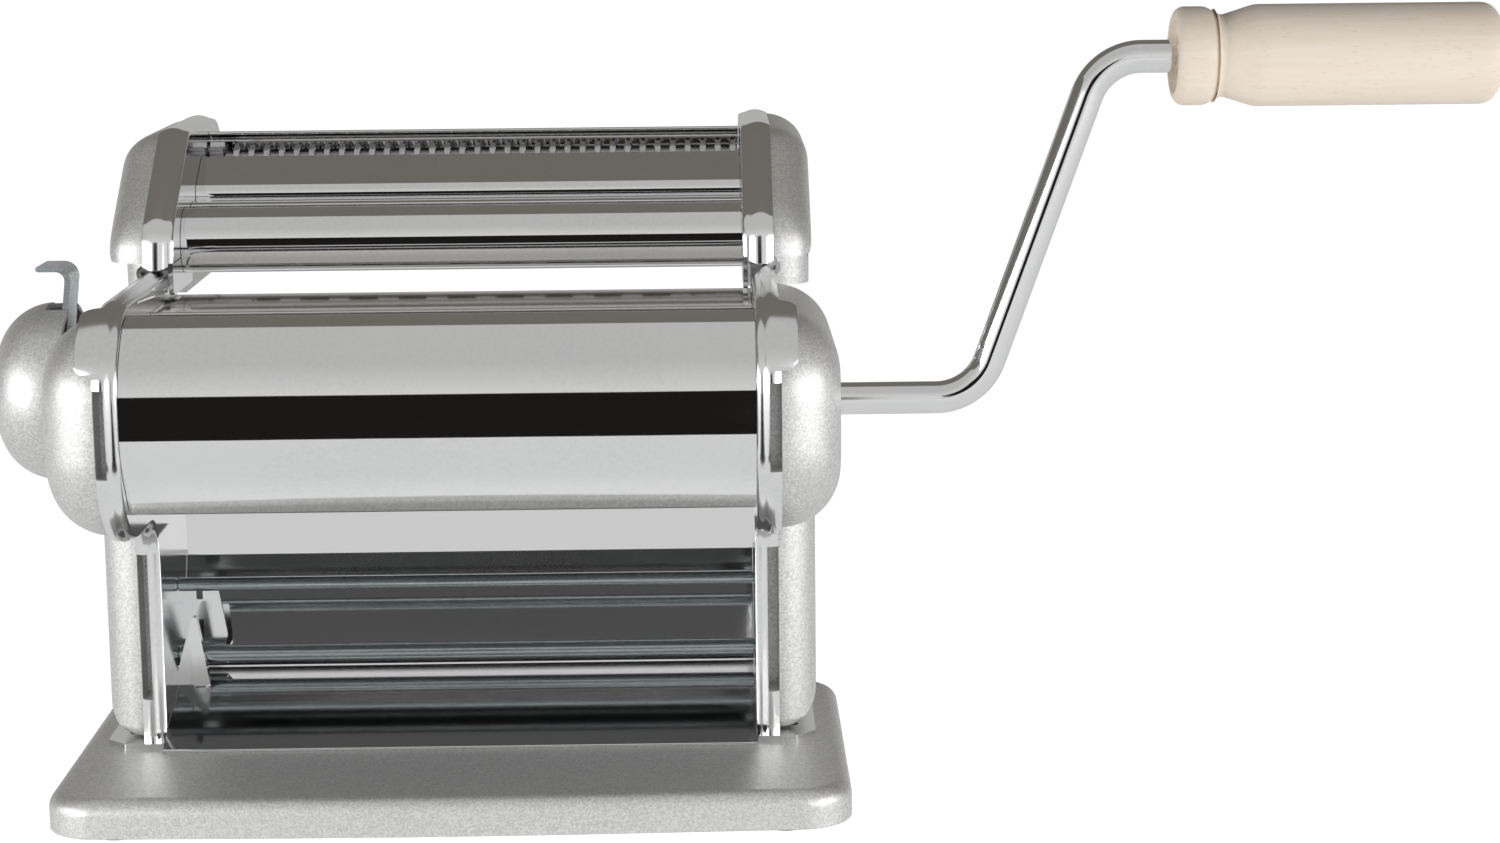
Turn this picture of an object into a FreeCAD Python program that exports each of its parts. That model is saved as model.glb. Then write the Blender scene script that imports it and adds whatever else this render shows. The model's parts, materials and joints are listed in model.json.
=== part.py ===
import FreeCAD
import Part
import Sketcher
import math
import os

Vector = FreeCAD.Vector
doc = FreeCAD.newDocument("pasta_roller_machine")

# Driving sizes in millimetres and degrees
# The frame has +X to the crank side, +Y to the rear and +Z up.
# Its origin is the middle of the four feet on the table.
SIZES = [
    ("inner_width", 151.5, "between the inner faces of the side plates"),
    ("sheet", 1.2, "sheet steel of side plates and covers"),
    ("rim_wide", 6.0, "outward rim of a side plate"),
    ("rim_tab", 10.0, "wider rim at the upper front of a side plate"),
    ("seat_gap", 0.1, "clearance of a part that is let in between two others"),
    ("run_gap", 0.05, "radial clearance of a running fit"),
    ("table_gap", 2.5, "foot below the skirt of the base"),
    ("base_high", 9.5, "skirt of the base"),
    ("base_rim", 7.0, "base beyond the leg of an end cover"),
    ("base_deep", 110.0, "base along Y at its corners"),
    ("base_bulge", 3.0, "outward bow of the base's long sides"),
    ("base_wall", 1.5, "sheet of the base"),
    ("base_corner", 13.0, "corner radius of the base"),
    ("base_edge", 4.0, "rounded top edge of the base"),
    ("foot_rad", 6.5, "rubber foot"),
    ("foot_in", 16.5, "feet from the ends of the base"),
    ("foot_y", 42.0, "feet from the middle along Y"),
    ("axis_y", -26.0, "drive roller axis"),
    ("axis_z", 103.6, "drive roller axis"),
    ("roll_rad", 16.5, "smooth roller"),
    ("nip_min", 0.2, "closest roller gap"),
    ("throw", 1.3, "offset of the eccentric axle"),
    ("dial_half", 55.0, "half of the knob's turn"),
    ("nose_rad", 27.0, "outer radius of the front cover"),
    ("head_front", -53.5, "front of the side plate"),
    ("head_low", 71.0, "underside of the head"),
    ("rail_z", 131.0, "top of the side plate's rail"),
    ("leg_front", -6.0, "front of the leg"),
    ("leg_rear", 39.0, "rear of the leg"),
    ("cap_wall", 2.8, "wall of an end cover"),
    ("leg_deep", 14.55, "leg of an end cover beyond the web"),
    ("head_step", 5.0, "head of an end cover beyond its leg"),
    ("cap_round", 8.0, "rounded outer edge of an end cover"),
    ("cap_inset", 1.6, "end cover inside the outline of the side plate"),
    ("cap_top", 127.2, "front top of an end cover"),
    ("cap_drop", 1.5, "fall of an end cover's top to the rear"),
    ("gear_wide", 5.0, "face width of the roller gears"),
    ("gear_hub", 9.0, "seat of a roller gear"),
    ("journal", 6.0, "roller journal"),
    ("bush_wall", 2.0, "wall of a bush"),
    ("bush_flange", 10.5, "flange of a bush"),
    ("core_rad", 4.0, "eccentric part of the axle"),
    ("rod_low_y", 18.0, "lower tie rod"),
    ("rod_low_z", 30.0, "lower tie rod"),
    ("rod_mid_y", 20.0, "middle tie rod"),
    ("rod_mid_z", 48.3, "middle tie rod"),
    ("rod_top_y", 31.2, "rear tie rod of the head"),
    ("rod_top_z", 100.0, "rear tie rod of the head"),
    ("rod_nose_y", -40.1, "front tie rod of the head"),
    ("rod_nose_z", 86.8, "front tie rod of the head"),
    ("rod_rad", 2.3, "tie rod"),
    ("rod_thin", 1.8, "middle tie rod radius"),
    ("screw_rad", 1.4, "screw stem"),
    ("screw_head", 3.2, "screw head"),
    ("screw_high", 1.8, "screw head height"),
    ("nose_head", 2.3, "screw head of the front tie rod"),
    ("knob_rad", 22.7, "thickness knob"),
    ("knob_gap", 0.8, "rim of the knob beyond the end cover"),
    ("knob_high", 19.0, "height of the knob"),
    ("knob_wall", 1.5, "wall of the knob"),
    ("knob_hub", 9.0, "hub of the knob"),
    ("latch_wide", 12.0, "latch strip along Y"),
    ("latch_thick", 1.5, "latch strip"),
    ("latch_rise", 32.0, "latch lip above the knob axis"),
    ("latch_lip", 9.0, "latch lip length"),
    ("latch_pull", 3.0, "travel of the latch"),
    ("index_rad", 13.2, "ring of the index holes"),
    ("index_pin", 1.3, "index pin"),
    ("crank_rad", 4.0, "crank rod"),
    ("pin_rad", 1.5, "cross pin of the crank"),
    ("crank_reach", 5.25, "inner end of the crank rod inside the side plate"),
    ("crank_low_x", 130.2, "lower bend of the crank"),
    ("crank_top_x", 160.2, "upper bend of the crank"),
    ("crank_rise", 83.0, "throw of the crank"),
    ("crank_bend", 14.0, "bend radius of the crank"),
    ("grip_start", 177.6, "inner end of the grip"),
    ("grip_long", 78.6, "grip"),
    ("grip_rad", 12.3, "grip"),
    ("spindle", 3.0, "spindle in the grip"),
    ("disc_rad", 7.6, "cutting disc"),
    ("disc_core", 5.6, "cutting roller between its discs"),
    ("pair_gap", 13.7, "centre distance of a cutting pair"),
    ("pair_rise", 4.5, "rear roller above the front one in the narrow pair"),
    ("stub_rad", 3.0, "cutting roller journal"),
    ("broad_y", 43.0, "front wide cutting roller"),
    ("broad_z", 136.0, "wide cutting rollers"),
    ("fine_y", 75.5, "front narrow cutting roller"),
    ("fine_z", 146.5, "front narrow cutting roller"),
    ("broad_pitch", 13.0, "two strips of the wide pair"),
    ("fine_pitch", 4.17, "two strips of the narrow pair"),
    ("shield_rad", 9.2, "sheet nose over a cutting roller"),
    ("thin_sheet", 1.0, "sheet of the cutter's shields"),
    ("cutter_play", 0.75, "cutter plate inside the side plate"),
    ("cutter_rim", 8.0, "outward rim of a cutter plate"),
    ("cutter_deep", 17.0, "cutter end cover beyond its plate"),
    ("rail_gap", 0.2, "cutter above the rail"),
    ("cutter_belly", 125.0, "underside of the cutter behind the machine"),
    ("cutter_top", 165.4, "top of the cutter plates"),
    ("cutter_front", 20.5, "front of the cutter plates"),
    ("cutter_rear", 113.0, "rear of the cutter plates"),
    ("socket_rad", 6.0, "crank socket of a driven cutting roller"),
    ("comb_sheet", 1.0, "sheet of the combs"),
    ("cut_gear", 4.0, "face width of the cutter gears"),
]

sheet = doc.addObject("Spreadsheet::Sheet", "sizes")
for row, (alias, value, note) in enumerate(SIZES, start=1):
    sheet.set("A%d" % row, note)
    sheet.set("B%d" % row, str(value))
    sheet.setAlias("B%d" % row, alias)
doc.recompute()


class Size:
    """A length that knows its present value and its expression in the sheet."""

    def __init__(self, value, text):
        self.value = float(value)
        self.text = text

    @staticmethod
    def of(other):
        if isinstance(other, Size):
            return other
        return Size(other, "(%r)" % float(other))

    def __add__(self, other):
        other = Size.of(other)
        return Size(self.value + other.value, "(%s + %s)" % (self.text, other.text))

    def __sub__(self, other):
        other = Size.of(other)
        return Size(self.value - other.value, "(%s - %s)" % (self.text, other.text))

    def __mul__(self, other):
        other = Size.of(other)
        return Size(self.value * other.value, "(%s * %s)" % (self.text, other.text))

    def __truediv__(self, other):
        other = Size.of(other)
        return Size(self.value / other.value, "(%s / %s)" % (self.text, other.text))

    def __radd__(self, other):
        return Size.of(other) + self

    def __rsub__(self, other):
        return Size.of(other) - self

    def __rmul__(self, other):
        return Size.of(other) * self

    def __neg__(self):
        return Size(-self.value, "(0 - %s)" % self.text)


def size(alias):
    return Size(sheet.get(alias), "sizes." + alias)


def bind(thing, path, amount):
    thing.setExpression(path, Size.of(amount).text)


def put(thing, x, y, z, rotation=None):
    """Place a thing; its three coordinates follow the sheet."""
    x = Size.of(x)
    y = Size.of(y)
    z = Size.of(z)
    turn = rotation or FreeCAD.Rotation()
    thing.Placement = FreeCAD.Placement(Vector(x.value, y.value, z.value), turn)
    bind(thing, "Placement.Base.x", x)
    bind(thing, "Placement.Base.y", y)
    bind(thing, "Placement.Base.z", z)
    return thing


ALONG_X = FreeCAD.Rotation(Vector(0, 1, 0), 90)
ALONG_Y = FreeCAD.Rotation(Vector(1, 0, 0), -90)
PLANE_YZ = FreeCAD.Rotation(Vector(1, 1, 1), 120)
PLANE_XZ = FreeCAD.Rotation(Vector(1, 0, 0), 90)


def cylinder_x(name, radius, start, end, y, z):
    rod = doc.addObject("Part::Cylinder", name)
    bind(rod, "Radius", radius)
    bind(rod, "Height", Size.of(end) - start)
    return put(rod, start, y, z, ALONG_X)


def cylinder_z(name, radius, x, y, start, end):
    rod = doc.addObject("Part::Cylinder", name)
    bind(rod, "Radius", radius)
    bind(rod, "Height", Size.of(end) - start)
    return put(rod, x, y, start)


def cylinder_y(name, radius, x, z, start, end):
    rod = doc.addObject("Part::Cylinder", name)
    bind(rod, "Radius", radius)
    bind(rod, "Height", Size.of(end) - start)
    return put(rod, x, start, z, ALONG_Y)


def box(name, x, y, z):
    """A box from three (low, high) pairs."""
    block = doc.addObject("Part::Box", name)
    for prop, (low, high) in zip(("Length", "Width", "Height"), (x, y, z)):
        bind(block, prop, Size.of(high) - low)
    return put(block, x[0], y[0], z[0])


def fuse(name, things):
    union = doc.addObject("Part::MultiFuse", name)
    union.Shapes = things
    return union


def group(name, things):
    bundle = doc.addObject("Part::Compound", name)
    bundle.Links = things
    return bundle


def cut(name, base, tools):
    rest = doc.addObject("Part::Cut", name)
    rest.Base = base
    rest.Tool = tools[0] if len(tools) == 1 else group(name + "_tools", tools)
    return rest


def mirrored_pair(start, end, side):
    """The lower and the higher of two X values on the given side."""
    if side > 0:
        return start, end
    return -Size.of(end), -Size.of(start)


def turn_of(corners, index):
    """Directions before and after a corner, and the way the outline turns there."""
    count = len(corners)
    here = Vector(corners[index][0].value, corners[index][1].value, 0)
    back = corners[index - 1]
    ahead = corners[(index + 1) % count]
    before = (here - Vector(back[0].value, back[1].value, 0)).normalize()
    after = (Vector(ahead[0].value, ahead[1].value, 0) - here).normalize()
    return here, before, after, before.cross(after).z


def cornered(points):
    """Corners (u, v, radius) with every entry a Size; radius 0 is a sharp corner."""
    return [tuple(Size.of(part) for part in (list(p) + [0.0])[:3]) for p in points]


def inset(points, amount):
    """The outline of counter-clockwise corners moved inward by an amount."""
    corners = cornered(points)
    result = []
    for index, (u, v, radius) in enumerate(corners):
        _, before, after, bend = turn_of(corners, index)
        left_a = Vector(-before.y, before.x, 0)
        left_b = Vector(-after.y, after.x, 0)
        mitre = (left_a + left_b) * (1.0 / (1.0 + left_a.dot(left_b)))
        moved = radius
        if radius.value > 0:
            moved = radius - amount if bend > 0 else radius + amount
        result.append((u + amount * mitre.x, v + amount * mitre.y, moved))
    return result


def pin_point(sketch, geometry, place, u, v):
    """Hold a point of the sketch at two lengths from its origin."""
    for kind, amount in (("DistanceX", u), ("DistanceY", v)):
        number = sketch.addConstraint(
            Sketcher.Constraint(kind, -1, 1, geometry, place, amount.value))
        sketch.setExpression("Constraints[%d]" % number, amount.text)


def draw(sketch, points, closed=True):
    """Draw an outline of straight runs whose corners are rounded by tangent arcs."""
    corners = cornered(points)
    count = len(corners)
    ends = []
    for index, (u, v, radius) in enumerate(corners):
        inner = closed or 0 < index < count - 1
        here = Vector(u.value, v.value, 0)
        if not inner or radius.value <= 0:
            ends.append((here, here, None))
            continue
        here, before, after, bend = turn_of(corners, index)
        half = math.acos(max(-1.0, min(1.0, before.dot(after)))) / 2
        reach = radius.value * math.tan(half)
        first = here - before * reach
        last = here + after * reach
        left = Vector(-before.y, before.x, 0) * (1 if bend > 0 else -1)
        ends.append((first, last, (first + left * radius.value, bend > 0)))
    runs = []
    for index in range(count if closed else count - 1):
        start = ends[index][1]
        stop = ends[(index + 1) % count][0]
        runs.append(sketch.addGeometry(Part.LineSegment(start, stop), False))
    for index, (u, v, radius) in enumerate(corners):
        first, last, arc = ends[index]
        incoming = runs[index - 1] if closed or index > 0 else None
        outgoing = runs[index] if index < len(runs) else None
        if arc is None:
            if incoming is not None and outgoing is not None:
                sketch.addConstraint(
                    Sketcher.Constraint("Coincident", incoming, 2, outgoing, 1))
            if outgoing is not None:
                pin_point(sketch, outgoing, 1, u, v)
            else:
                pin_point(sketch, incoming, 2, u, v)
            continue
        centre, leftward = arc
        head, tail = (first, last) if leftward else (last, first)
        circle = Part.Circle(centre, Vector(0, 0, 1), radius.value)
        low = math.atan2(head.y - centre.y, head.x - centre.x)
        high = math.atan2(tail.y - centre.y, tail.x - centre.x)
        if high < low:
            high += 2 * math.pi
        curve = sketch.addGeometry(Part.ArcOfCircle(circle, low, high), False)
        enter, leave = (1, 2) if leftward else (2, 1)
        sketch.addConstraint(Sketcher.Constraint("Tangent", incoming, 2, curve, enter))
        sketch.addConstraint(Sketcher.Constraint("Tangent", curve, leave, outgoing, 1))
        number = sketch.addConstraint(Sketcher.Constraint("Radius", curve, radius.value))
        sketch.setExpression("Constraints[%d]" % number, radius.text)
        corner = sketch.addGeometry(Part.Point(Vector(u.value, v.value, 0)), True)
        sketch.addConstraint(Sketcher.Constraint("PointOnObject", corner, 1, incoming))
        sketch.addConstraint(Sketcher.Constraint("PointOnObject", corner, 1, outgoing))
        pin_point(sketch, corner, 1, u, v)


def body_at(name, x=0.0, y=0.0, z=0.0):
    body = doc.addObject("PartDesign::Body", name)
    return put(body, x, y, z)


def sketch_on(body, name, role, offset, points):
    """A closed sketch on one of the body's own planes, moved along its normal."""
    plane = [item for item in body.Origin.OriginFeatures if item.Role == role][0]
    sketch = body.newObject("Sketcher::SketchObject", name)
    sketch.AttachmentSupport = [(plane, "")]
    sketch.MapMode = "FlatFace"
    draw(sketch, points)
    bind(sketch, "AttachmentOffset.Base.z", offset)
    return sketch


def pad(body, sketch, length, reverse=False):
    feature = body.newObject("PartDesign::Pad", sketch.Name + "_pad")
    feature.Profile = sketch
    feature.Reversed = reverse
    bind(feature, "Length", length)
    sketch.Visibility = False
    return feature


def pocket(body, sketch, length, reverse=False):
    feature = body.newObject("PartDesign::Pocket", sketch.Name + "_pocket")
    feature.Profile = sketch
    feature.Reversed = reverse
    bind(feature, "Length", length)
    sketch.Visibility = False
    return feature


def round_face(body, feature, pick, radius):
    """Round all edges of the face of a feature that lies farthest in a direction."""
    doc.recompute()
    faces = feature.Shape.Faces
    best = max(range(len(faces)), key=lambda i: faces[i].CenterOfMass.dot(pick))
    fillet = body.newObject("PartDesign::Fillet", feature.Name + "_round")
    fillet.Base = (feature, ["Face%d" % (best + 1)])
    bind(fillet, "Radius", radius)
    return fillet


def turned(name, points, x, y, z):
    """A turned part: a half profile of (along X, radius) points about its axis."""
    body = body_at(name, x, y, z)
    profile = sketch_on(body, name + "_profile", "XY_Plane", 0.0, points)
    feature = body.newObject("PartDesign::Revolution", name + "_turn")
    feature.Profile = profile
    feature.ReferenceAxis = (profile, ["H_Axis"])
    feature.Angle = 360.0
    profile.Visibility = False
    return body


def bent_sheet(name, points, thickness, low, high, rotation=PLANE_YZ, level=0.0):
    """A bent sheet: the middle line of its section, thickened and drawn out."""
    line = doc.addObject("Sketcher::SketchObject", name + "_line")
    draw(line, points, closed=False)
    section = doc.addObject("Part::Offset2D", name + "_section")
    section.Source = line
    section.Mode = "Pipe"
    section.Join = "Intersection"
    section.Fill = True
    section.Value = Size.of(thickness).value / 2
    bind(section, "Value", Size.of(thickness) / 2)
    strip = doc.addObject("Part::Extrusion", name)
    strip.Base = section
    strip.DirMode = "Custom"
    strip.Solid = True
    bind(strip, "LengthFwd", Size.of(high) - low)
    if rotation is PLANE_YZ:
        put(line, low, 0.0, 0.0, rotation)
        strip.Dir = Vector(1, 0, 0)
    else:
        put(line, 0.0, low, level, rotation)
        strip.Dir = Vector(0, 1, 0)
    return strip


def on_ring(y, z, radius, degrees):
    """The point at an angle on a circle about an axis along X, from +Y towards +Z."""
    angle = math.radians(degrees)
    return y + radius * math.cos(angle), z + radius * math.sin(angle)


def ring_sector(name, centre, radius, thickness, start, sweep, low, high):
    """A sheet bent around an axis along X, from a start angle through a sweep."""
    angle = math.radians(start)
    turn = FreeCAD.Rotation(Vector(0, math.cos(angle), math.sin(angle)),
                            Vector(0, -math.sin(angle), math.cos(angle)),
                            Vector(1, 0, 0), "XYZ")
    outer = doc.addObject("Part::Cylinder", name + "_outer")
    outer.Angle = sweep
    bind(outer, "Radius", radius)
    bind(outer, "Height", Size.of(high) - low)
    put(outer, low, centre[0], centre[1], turn)
    inner = cylinder_x(name + "_inner", Size.of(radius) - thickness, low - 1.0, high + 1.0,
                       centre[0], centre[1])
    return cut(name + "_bend", outer, [inner])


nodes = []


def finish(thing, label):
    """Give a finished sub-part its label and put it on the list of sub-parts."""
    thing.Label = label
    nodes.append(thing)
    return thing


half = size("inner_width") / 2
sheet_t = size("sheet")
web_out = half + sheet_t
base_top = size("table_gap") + size("base_high")
cap_leg = web_out + size("leg_deep")
cap_head = cap_leg + size("head_step")
axis_y = size("axis_y")
axis_z = size("axis_z")
run = size("run_gap")
seat = size("seat_gap")

# The knob's axis lies so that the closest roller gap is met at one end of its turn
dial_sine = math.sin(math.radians(size("dial_half").value))
knob_y = axis_y + size("roll_rad") * 2 + size("nip_min") + size("throw") * dial_sine
knob_z = axis_z - size("throw")
rear_y = knob_y
rear_z = axis_z

# Base tray with bowed long sides, hollow from below
base_half = cap_leg + size("base_rim")
foot_x = base_half - size("foot_in")
base_side = size("base_deep") / 2
bow = base_side + size("base_bulge")
BOW_RADIUS = 1800.0
base_outline = [
    (-base_half, -base_side, size("base_corner")),
    (0.0, -bow, BOW_RADIUS),
    (base_half, -base_side, size("base_corner")),
    (base_half, base_side, size("base_corner")),
    (0.0, bow, BOW_RADIUS),
    (-base_half, base_side, size("base_corner")),
]
base_body = body_at("base_tray")
base_pad = pad(base_body, sketch_on(base_body, "base_outline", "XY_Plane",
                                    size("table_gap"), base_outline), size("base_high"))
round_face(base_body, base_pad, Vector(0, 0, 1), size("base_edge"))
base_hollow = sketch_on(base_body, "base_hollow", "XY_Plane", size("table_gap"),
                        inset(base_outline, size("base_wall")))
pocket(base_body, base_hollow, size("base_high") - size("base_wall"), reverse=True)
foot_seat = base_top - size("base_wall")
base_tools = []
CLAMP_HALF = 9.0
clamp_slot = box("clamp_slot", (-CLAMP_HALF, CLAMP_HALF),
                 (base_side - 8.0, bow + 2.0),
                 (size("table_gap") + 1.8, size("table_gap") + 6.6))
base_tools.append(clamp_slot)

# Screws of the foot flanges stand on the flanges of both side plates
flange_x = half + 9.5
flange_screw_y = (2.0, 31.0)
for way_x in (-1, 1):
    for y in flange_screw_y:
        base_tools.append(cylinder_z("flange_hole", size("screw_rad") + run, flange_x * way_x, y,
                                     foot_seat - 1, base_top + 1))
finish(cut("base_plate", base_body, base_tools), "base_plate")

# Rubber feet, bonded to the underside of the tray
feet = []
for way_x in (-1, 1):
    for way_y in (-1, 1):
        feet.append(cylinder_z("foot_pad", size("foot_rad"), foot_x * way_x,
                               size("foot_y") * way_y, 0.0, foot_seat))
finish(group("rubber_feet", feet), "rubber_feet")

# Side plates: a flanged tray with a bearing head, a leg and a foot flange
HEAD_ROUND = 22.0
plate_outline = [
    (size("head_front"), size("head_low"), 24.0),
    (size("leg_front"), size("head_low"), 9.0),
    (size("leg_front"), base_top, 0.0),
    (size("leg_rear"), base_top, 0.0),
    (size("leg_rear"), size("rail_z"), 4.0),
    (size("head_front"), size("rail_z"), HEAD_ROUND),
]
rods = [
    ("lower_tie_rod", size("rod_low_y"), size("rod_low_z"), size("rod_rad")),
    ("middle_tie_rod", size("rod_mid_y"), size("rod_mid_z"), size("rod_thin")),
    ("rear_tie_rod", size("rod_top_y"), size("rod_top_z"), size("rod_rad")),
    ("front_tie_rod", size("rod_nose_y"), size("rod_nose_z"), size("rod_rad")),
]
cap_screws = [(6.0, 74.0, cap_leg - 1.5), (28.0, 84.0, cap_head - 1.5)]
bush_rad = size("journal") + run + size("bush_wall")
post_front = 23.5
# Lug of the left plate before the lower rod: a triangle from the web and a raised strip
LUGS = [
    ("lug_web", 4.0, 2.8, [(-0.6, 5.5), (9.3, 5.5), (5.6, 29.0), (4.1, 29.0), (-0.6, 10.0)]),
    ("lug_strip", 5.2, 4.0, [(4.4, 5.5), (9.3, 5.5), (5.6, 29.0), (4.1, 29.0)]),
]
# Slots from the edge of the rim into its front, with a recess in the cover behind them
SLOT_IN = 3.1
rim_slots = [
    (size("head_front"), axis_z - 13.1, axis_z + 8.4),
    (size("leg_front"), base_top + 12.0, base_top + 50.0),
]
window_low = size("rail_z") - 5.6
window_high = size("rail_z") - sheet_t - 0.8
for side, word in ((-1, "left"), (1, "right")):
    tray = body_at(word + "_tray")
    outer = sketch_on(tray, word + "_plate_outline", "YZ_Plane", half * side, plate_outline)
    pad(tray, outer, size("rim_wide"), reverse=side < 0)
    hollow = sketch_on(tray, word + "_plate_hollow", "YZ_Plane", web_out * side,
                       inset(plate_outline, sheet_t))
    pocket(tray, hollow, size("rim_wide"), reverse=side > 0)
    low, high = mirrored_pair(half, cap_leg - 0.5, side)
    chamfer = 5.0
    outer_x = high if side > 0 else low
    front_y = size("leg_front") - 3.0
    rear_end = size("leg_rear") + 1.0
    inner_x = low if side > 0 else high
    flange_points = [
        (inner_x, front_y), (outer_x - chamfer * side, front_y),
        (outer_x, front_y + chamfer), (outer_x, rear_end - chamfer),
        (outer_x - chamfer * side, rear_end), (inner_x, rear_end),
    ]
    if side < 0:
        flange_points.reverse()
    flange = sketch_on(tray, word + "_foot_flange", "XY_Plane", base_top, flange_points)
    pad(tray, flange, sheet_t)
    low, high = mirrored_pair(half, half + size("rim_tab"), side)
    brow_centre = (size("head_front") + HEAD_ROUND, size("rail_z") - HEAD_ROUND)
    brow = ring_sector(word + "_brow", brow_centre, HEAD_ROUND, sheet_t, 108.0, 57.0, low, high)
    solids = [tray, brow]
    tools = []
    if side < 0:
        lug = body_at("lug")
        for part, front, back, corners in LUGS:
            outline = [(depth - half, base_top + rise) for depth, rise in corners]
            face = sketch_on(lug, part, "XZ_Plane", size("rod_low_y") * -1.0 + back, outline)
            pad(lug, face, front - back)
        tab_y = size("rod_mid_y") + size("rod_thin") + 0.4
        solids.append(lug)
        solids.append(box("panel_tab", (-half - 0.6, -half + 12.2), (tab_y, tab_y + sheet_t),
                          (base_top + 18.7, base_top + 34.2)))
        for start, end in ((17.0, 26.3), (31.7, 36.0)):
            tools.append(box("tab_slit", (-half + 4.3, -half + 6.0),
                             (tab_y - 1.0, tab_y + sheet_t + 1.0),
                             (base_top + start, base_top + end)))
    whole = fuse(word + "_plate_solid", solids)
    low, high = mirrored_pair(half - 1.0, web_out + 1.0, side)
    for name, y, z, radius in rods:
        tools.append(cylinder_x("rod_hole", size("screw_rad") + run, low, high, y, z))
    for y, z in ((axis_y, axis_z), (knob_y, knob_z)):
        tools.append(cylinder_x("bush_hole", bush_rad, low, high, y, z))
    for y, z, roof in cap_screws:
        tools.append(cylinder_x("cap_hole", size("screw_rad") + run, low, high, y, z))
    for y in flange_screw_y:
        tools.append(cylinder_z("flange_hole", size("screw_rad") + run, flange_x * side, y,
                                base_top - 1.0, base_top + sheet_t + 1.0))
    window = body_at(word + "_window")
    wedge = sketch_on(window, word + "_wedge", "YZ_Plane", (half - 1.0) * side, [
        (-20.0, window_high - 0.6, 0.0), (post_front, window_low, 1.0),
        (post_front, window_high, 1.0), (-20.0, window_high, 0.0)])
    pad(window, wedge, sheet_t + 2.0, reverse=side < 0)
    tools.append(window)
    low, high = mirrored_pair(web_out, half + size("rim_wide") + 1.0, side)
    tools.append(box("rear_open", (low, high), (size("leg_rear") - 4.5, size("leg_rear") + 1.0),
                     (size("cap_top") - size("cap_drop") - 4.0, size("rail_z") - sheet_t)))
    low, high = mirrored_pair(half + SLOT_IN, half + size("rim_wide") + 1.0, side)
    for y_front, start, end in rim_slots:
        tools.append(box("rim_slot", (low, high), (y_front - 1.0, y_front + sheet_t + 1.0),
                         (start, end)))
    finish(cut(word + "_side_plate", whole, tools), word + "_side_plate")

# Tie rods between the side plates, tapped at both ends
screw_reach = 8.0
for name, y, z, radius in rods:
    rod = cylinder_x(name + "_bar", radius, -half, half, y, z)
    taps = [cylinder_x("tap", size("screw_rad"), -half - 1.0, -half + screw_reach + 1.0, y, z),
            cylinder_x("tap", size("screw_rad"), half - screw_reach - 1.0, half + 1.0, y, z)]
    finish(cut(name, rod, taps), name)

# Screws of the tie rods, seated on the outside of the webs
screws = []
for name, y, z, radius in rods:
    for side in (-1, 1):
        low, high = mirrored_pair(web_out, web_out + size("screw_high"), side)
        wide = size("nose_head") if name == "front_tie_rod" else size("screw_head")
        head = cylinder_x("screw_cap", wide, low, high, y, z)
        low, high = mirrored_pair(half - screw_reach, web_out + 0.5, side)
        stem = cylinder_x("screw_stem", size("screw_rad"), low, high, y, z)
        screws.append(fuse("rod_screw", [head, stem]))
finish(group("tie_rod_screws", screws), "tie_rod_screws")

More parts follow.
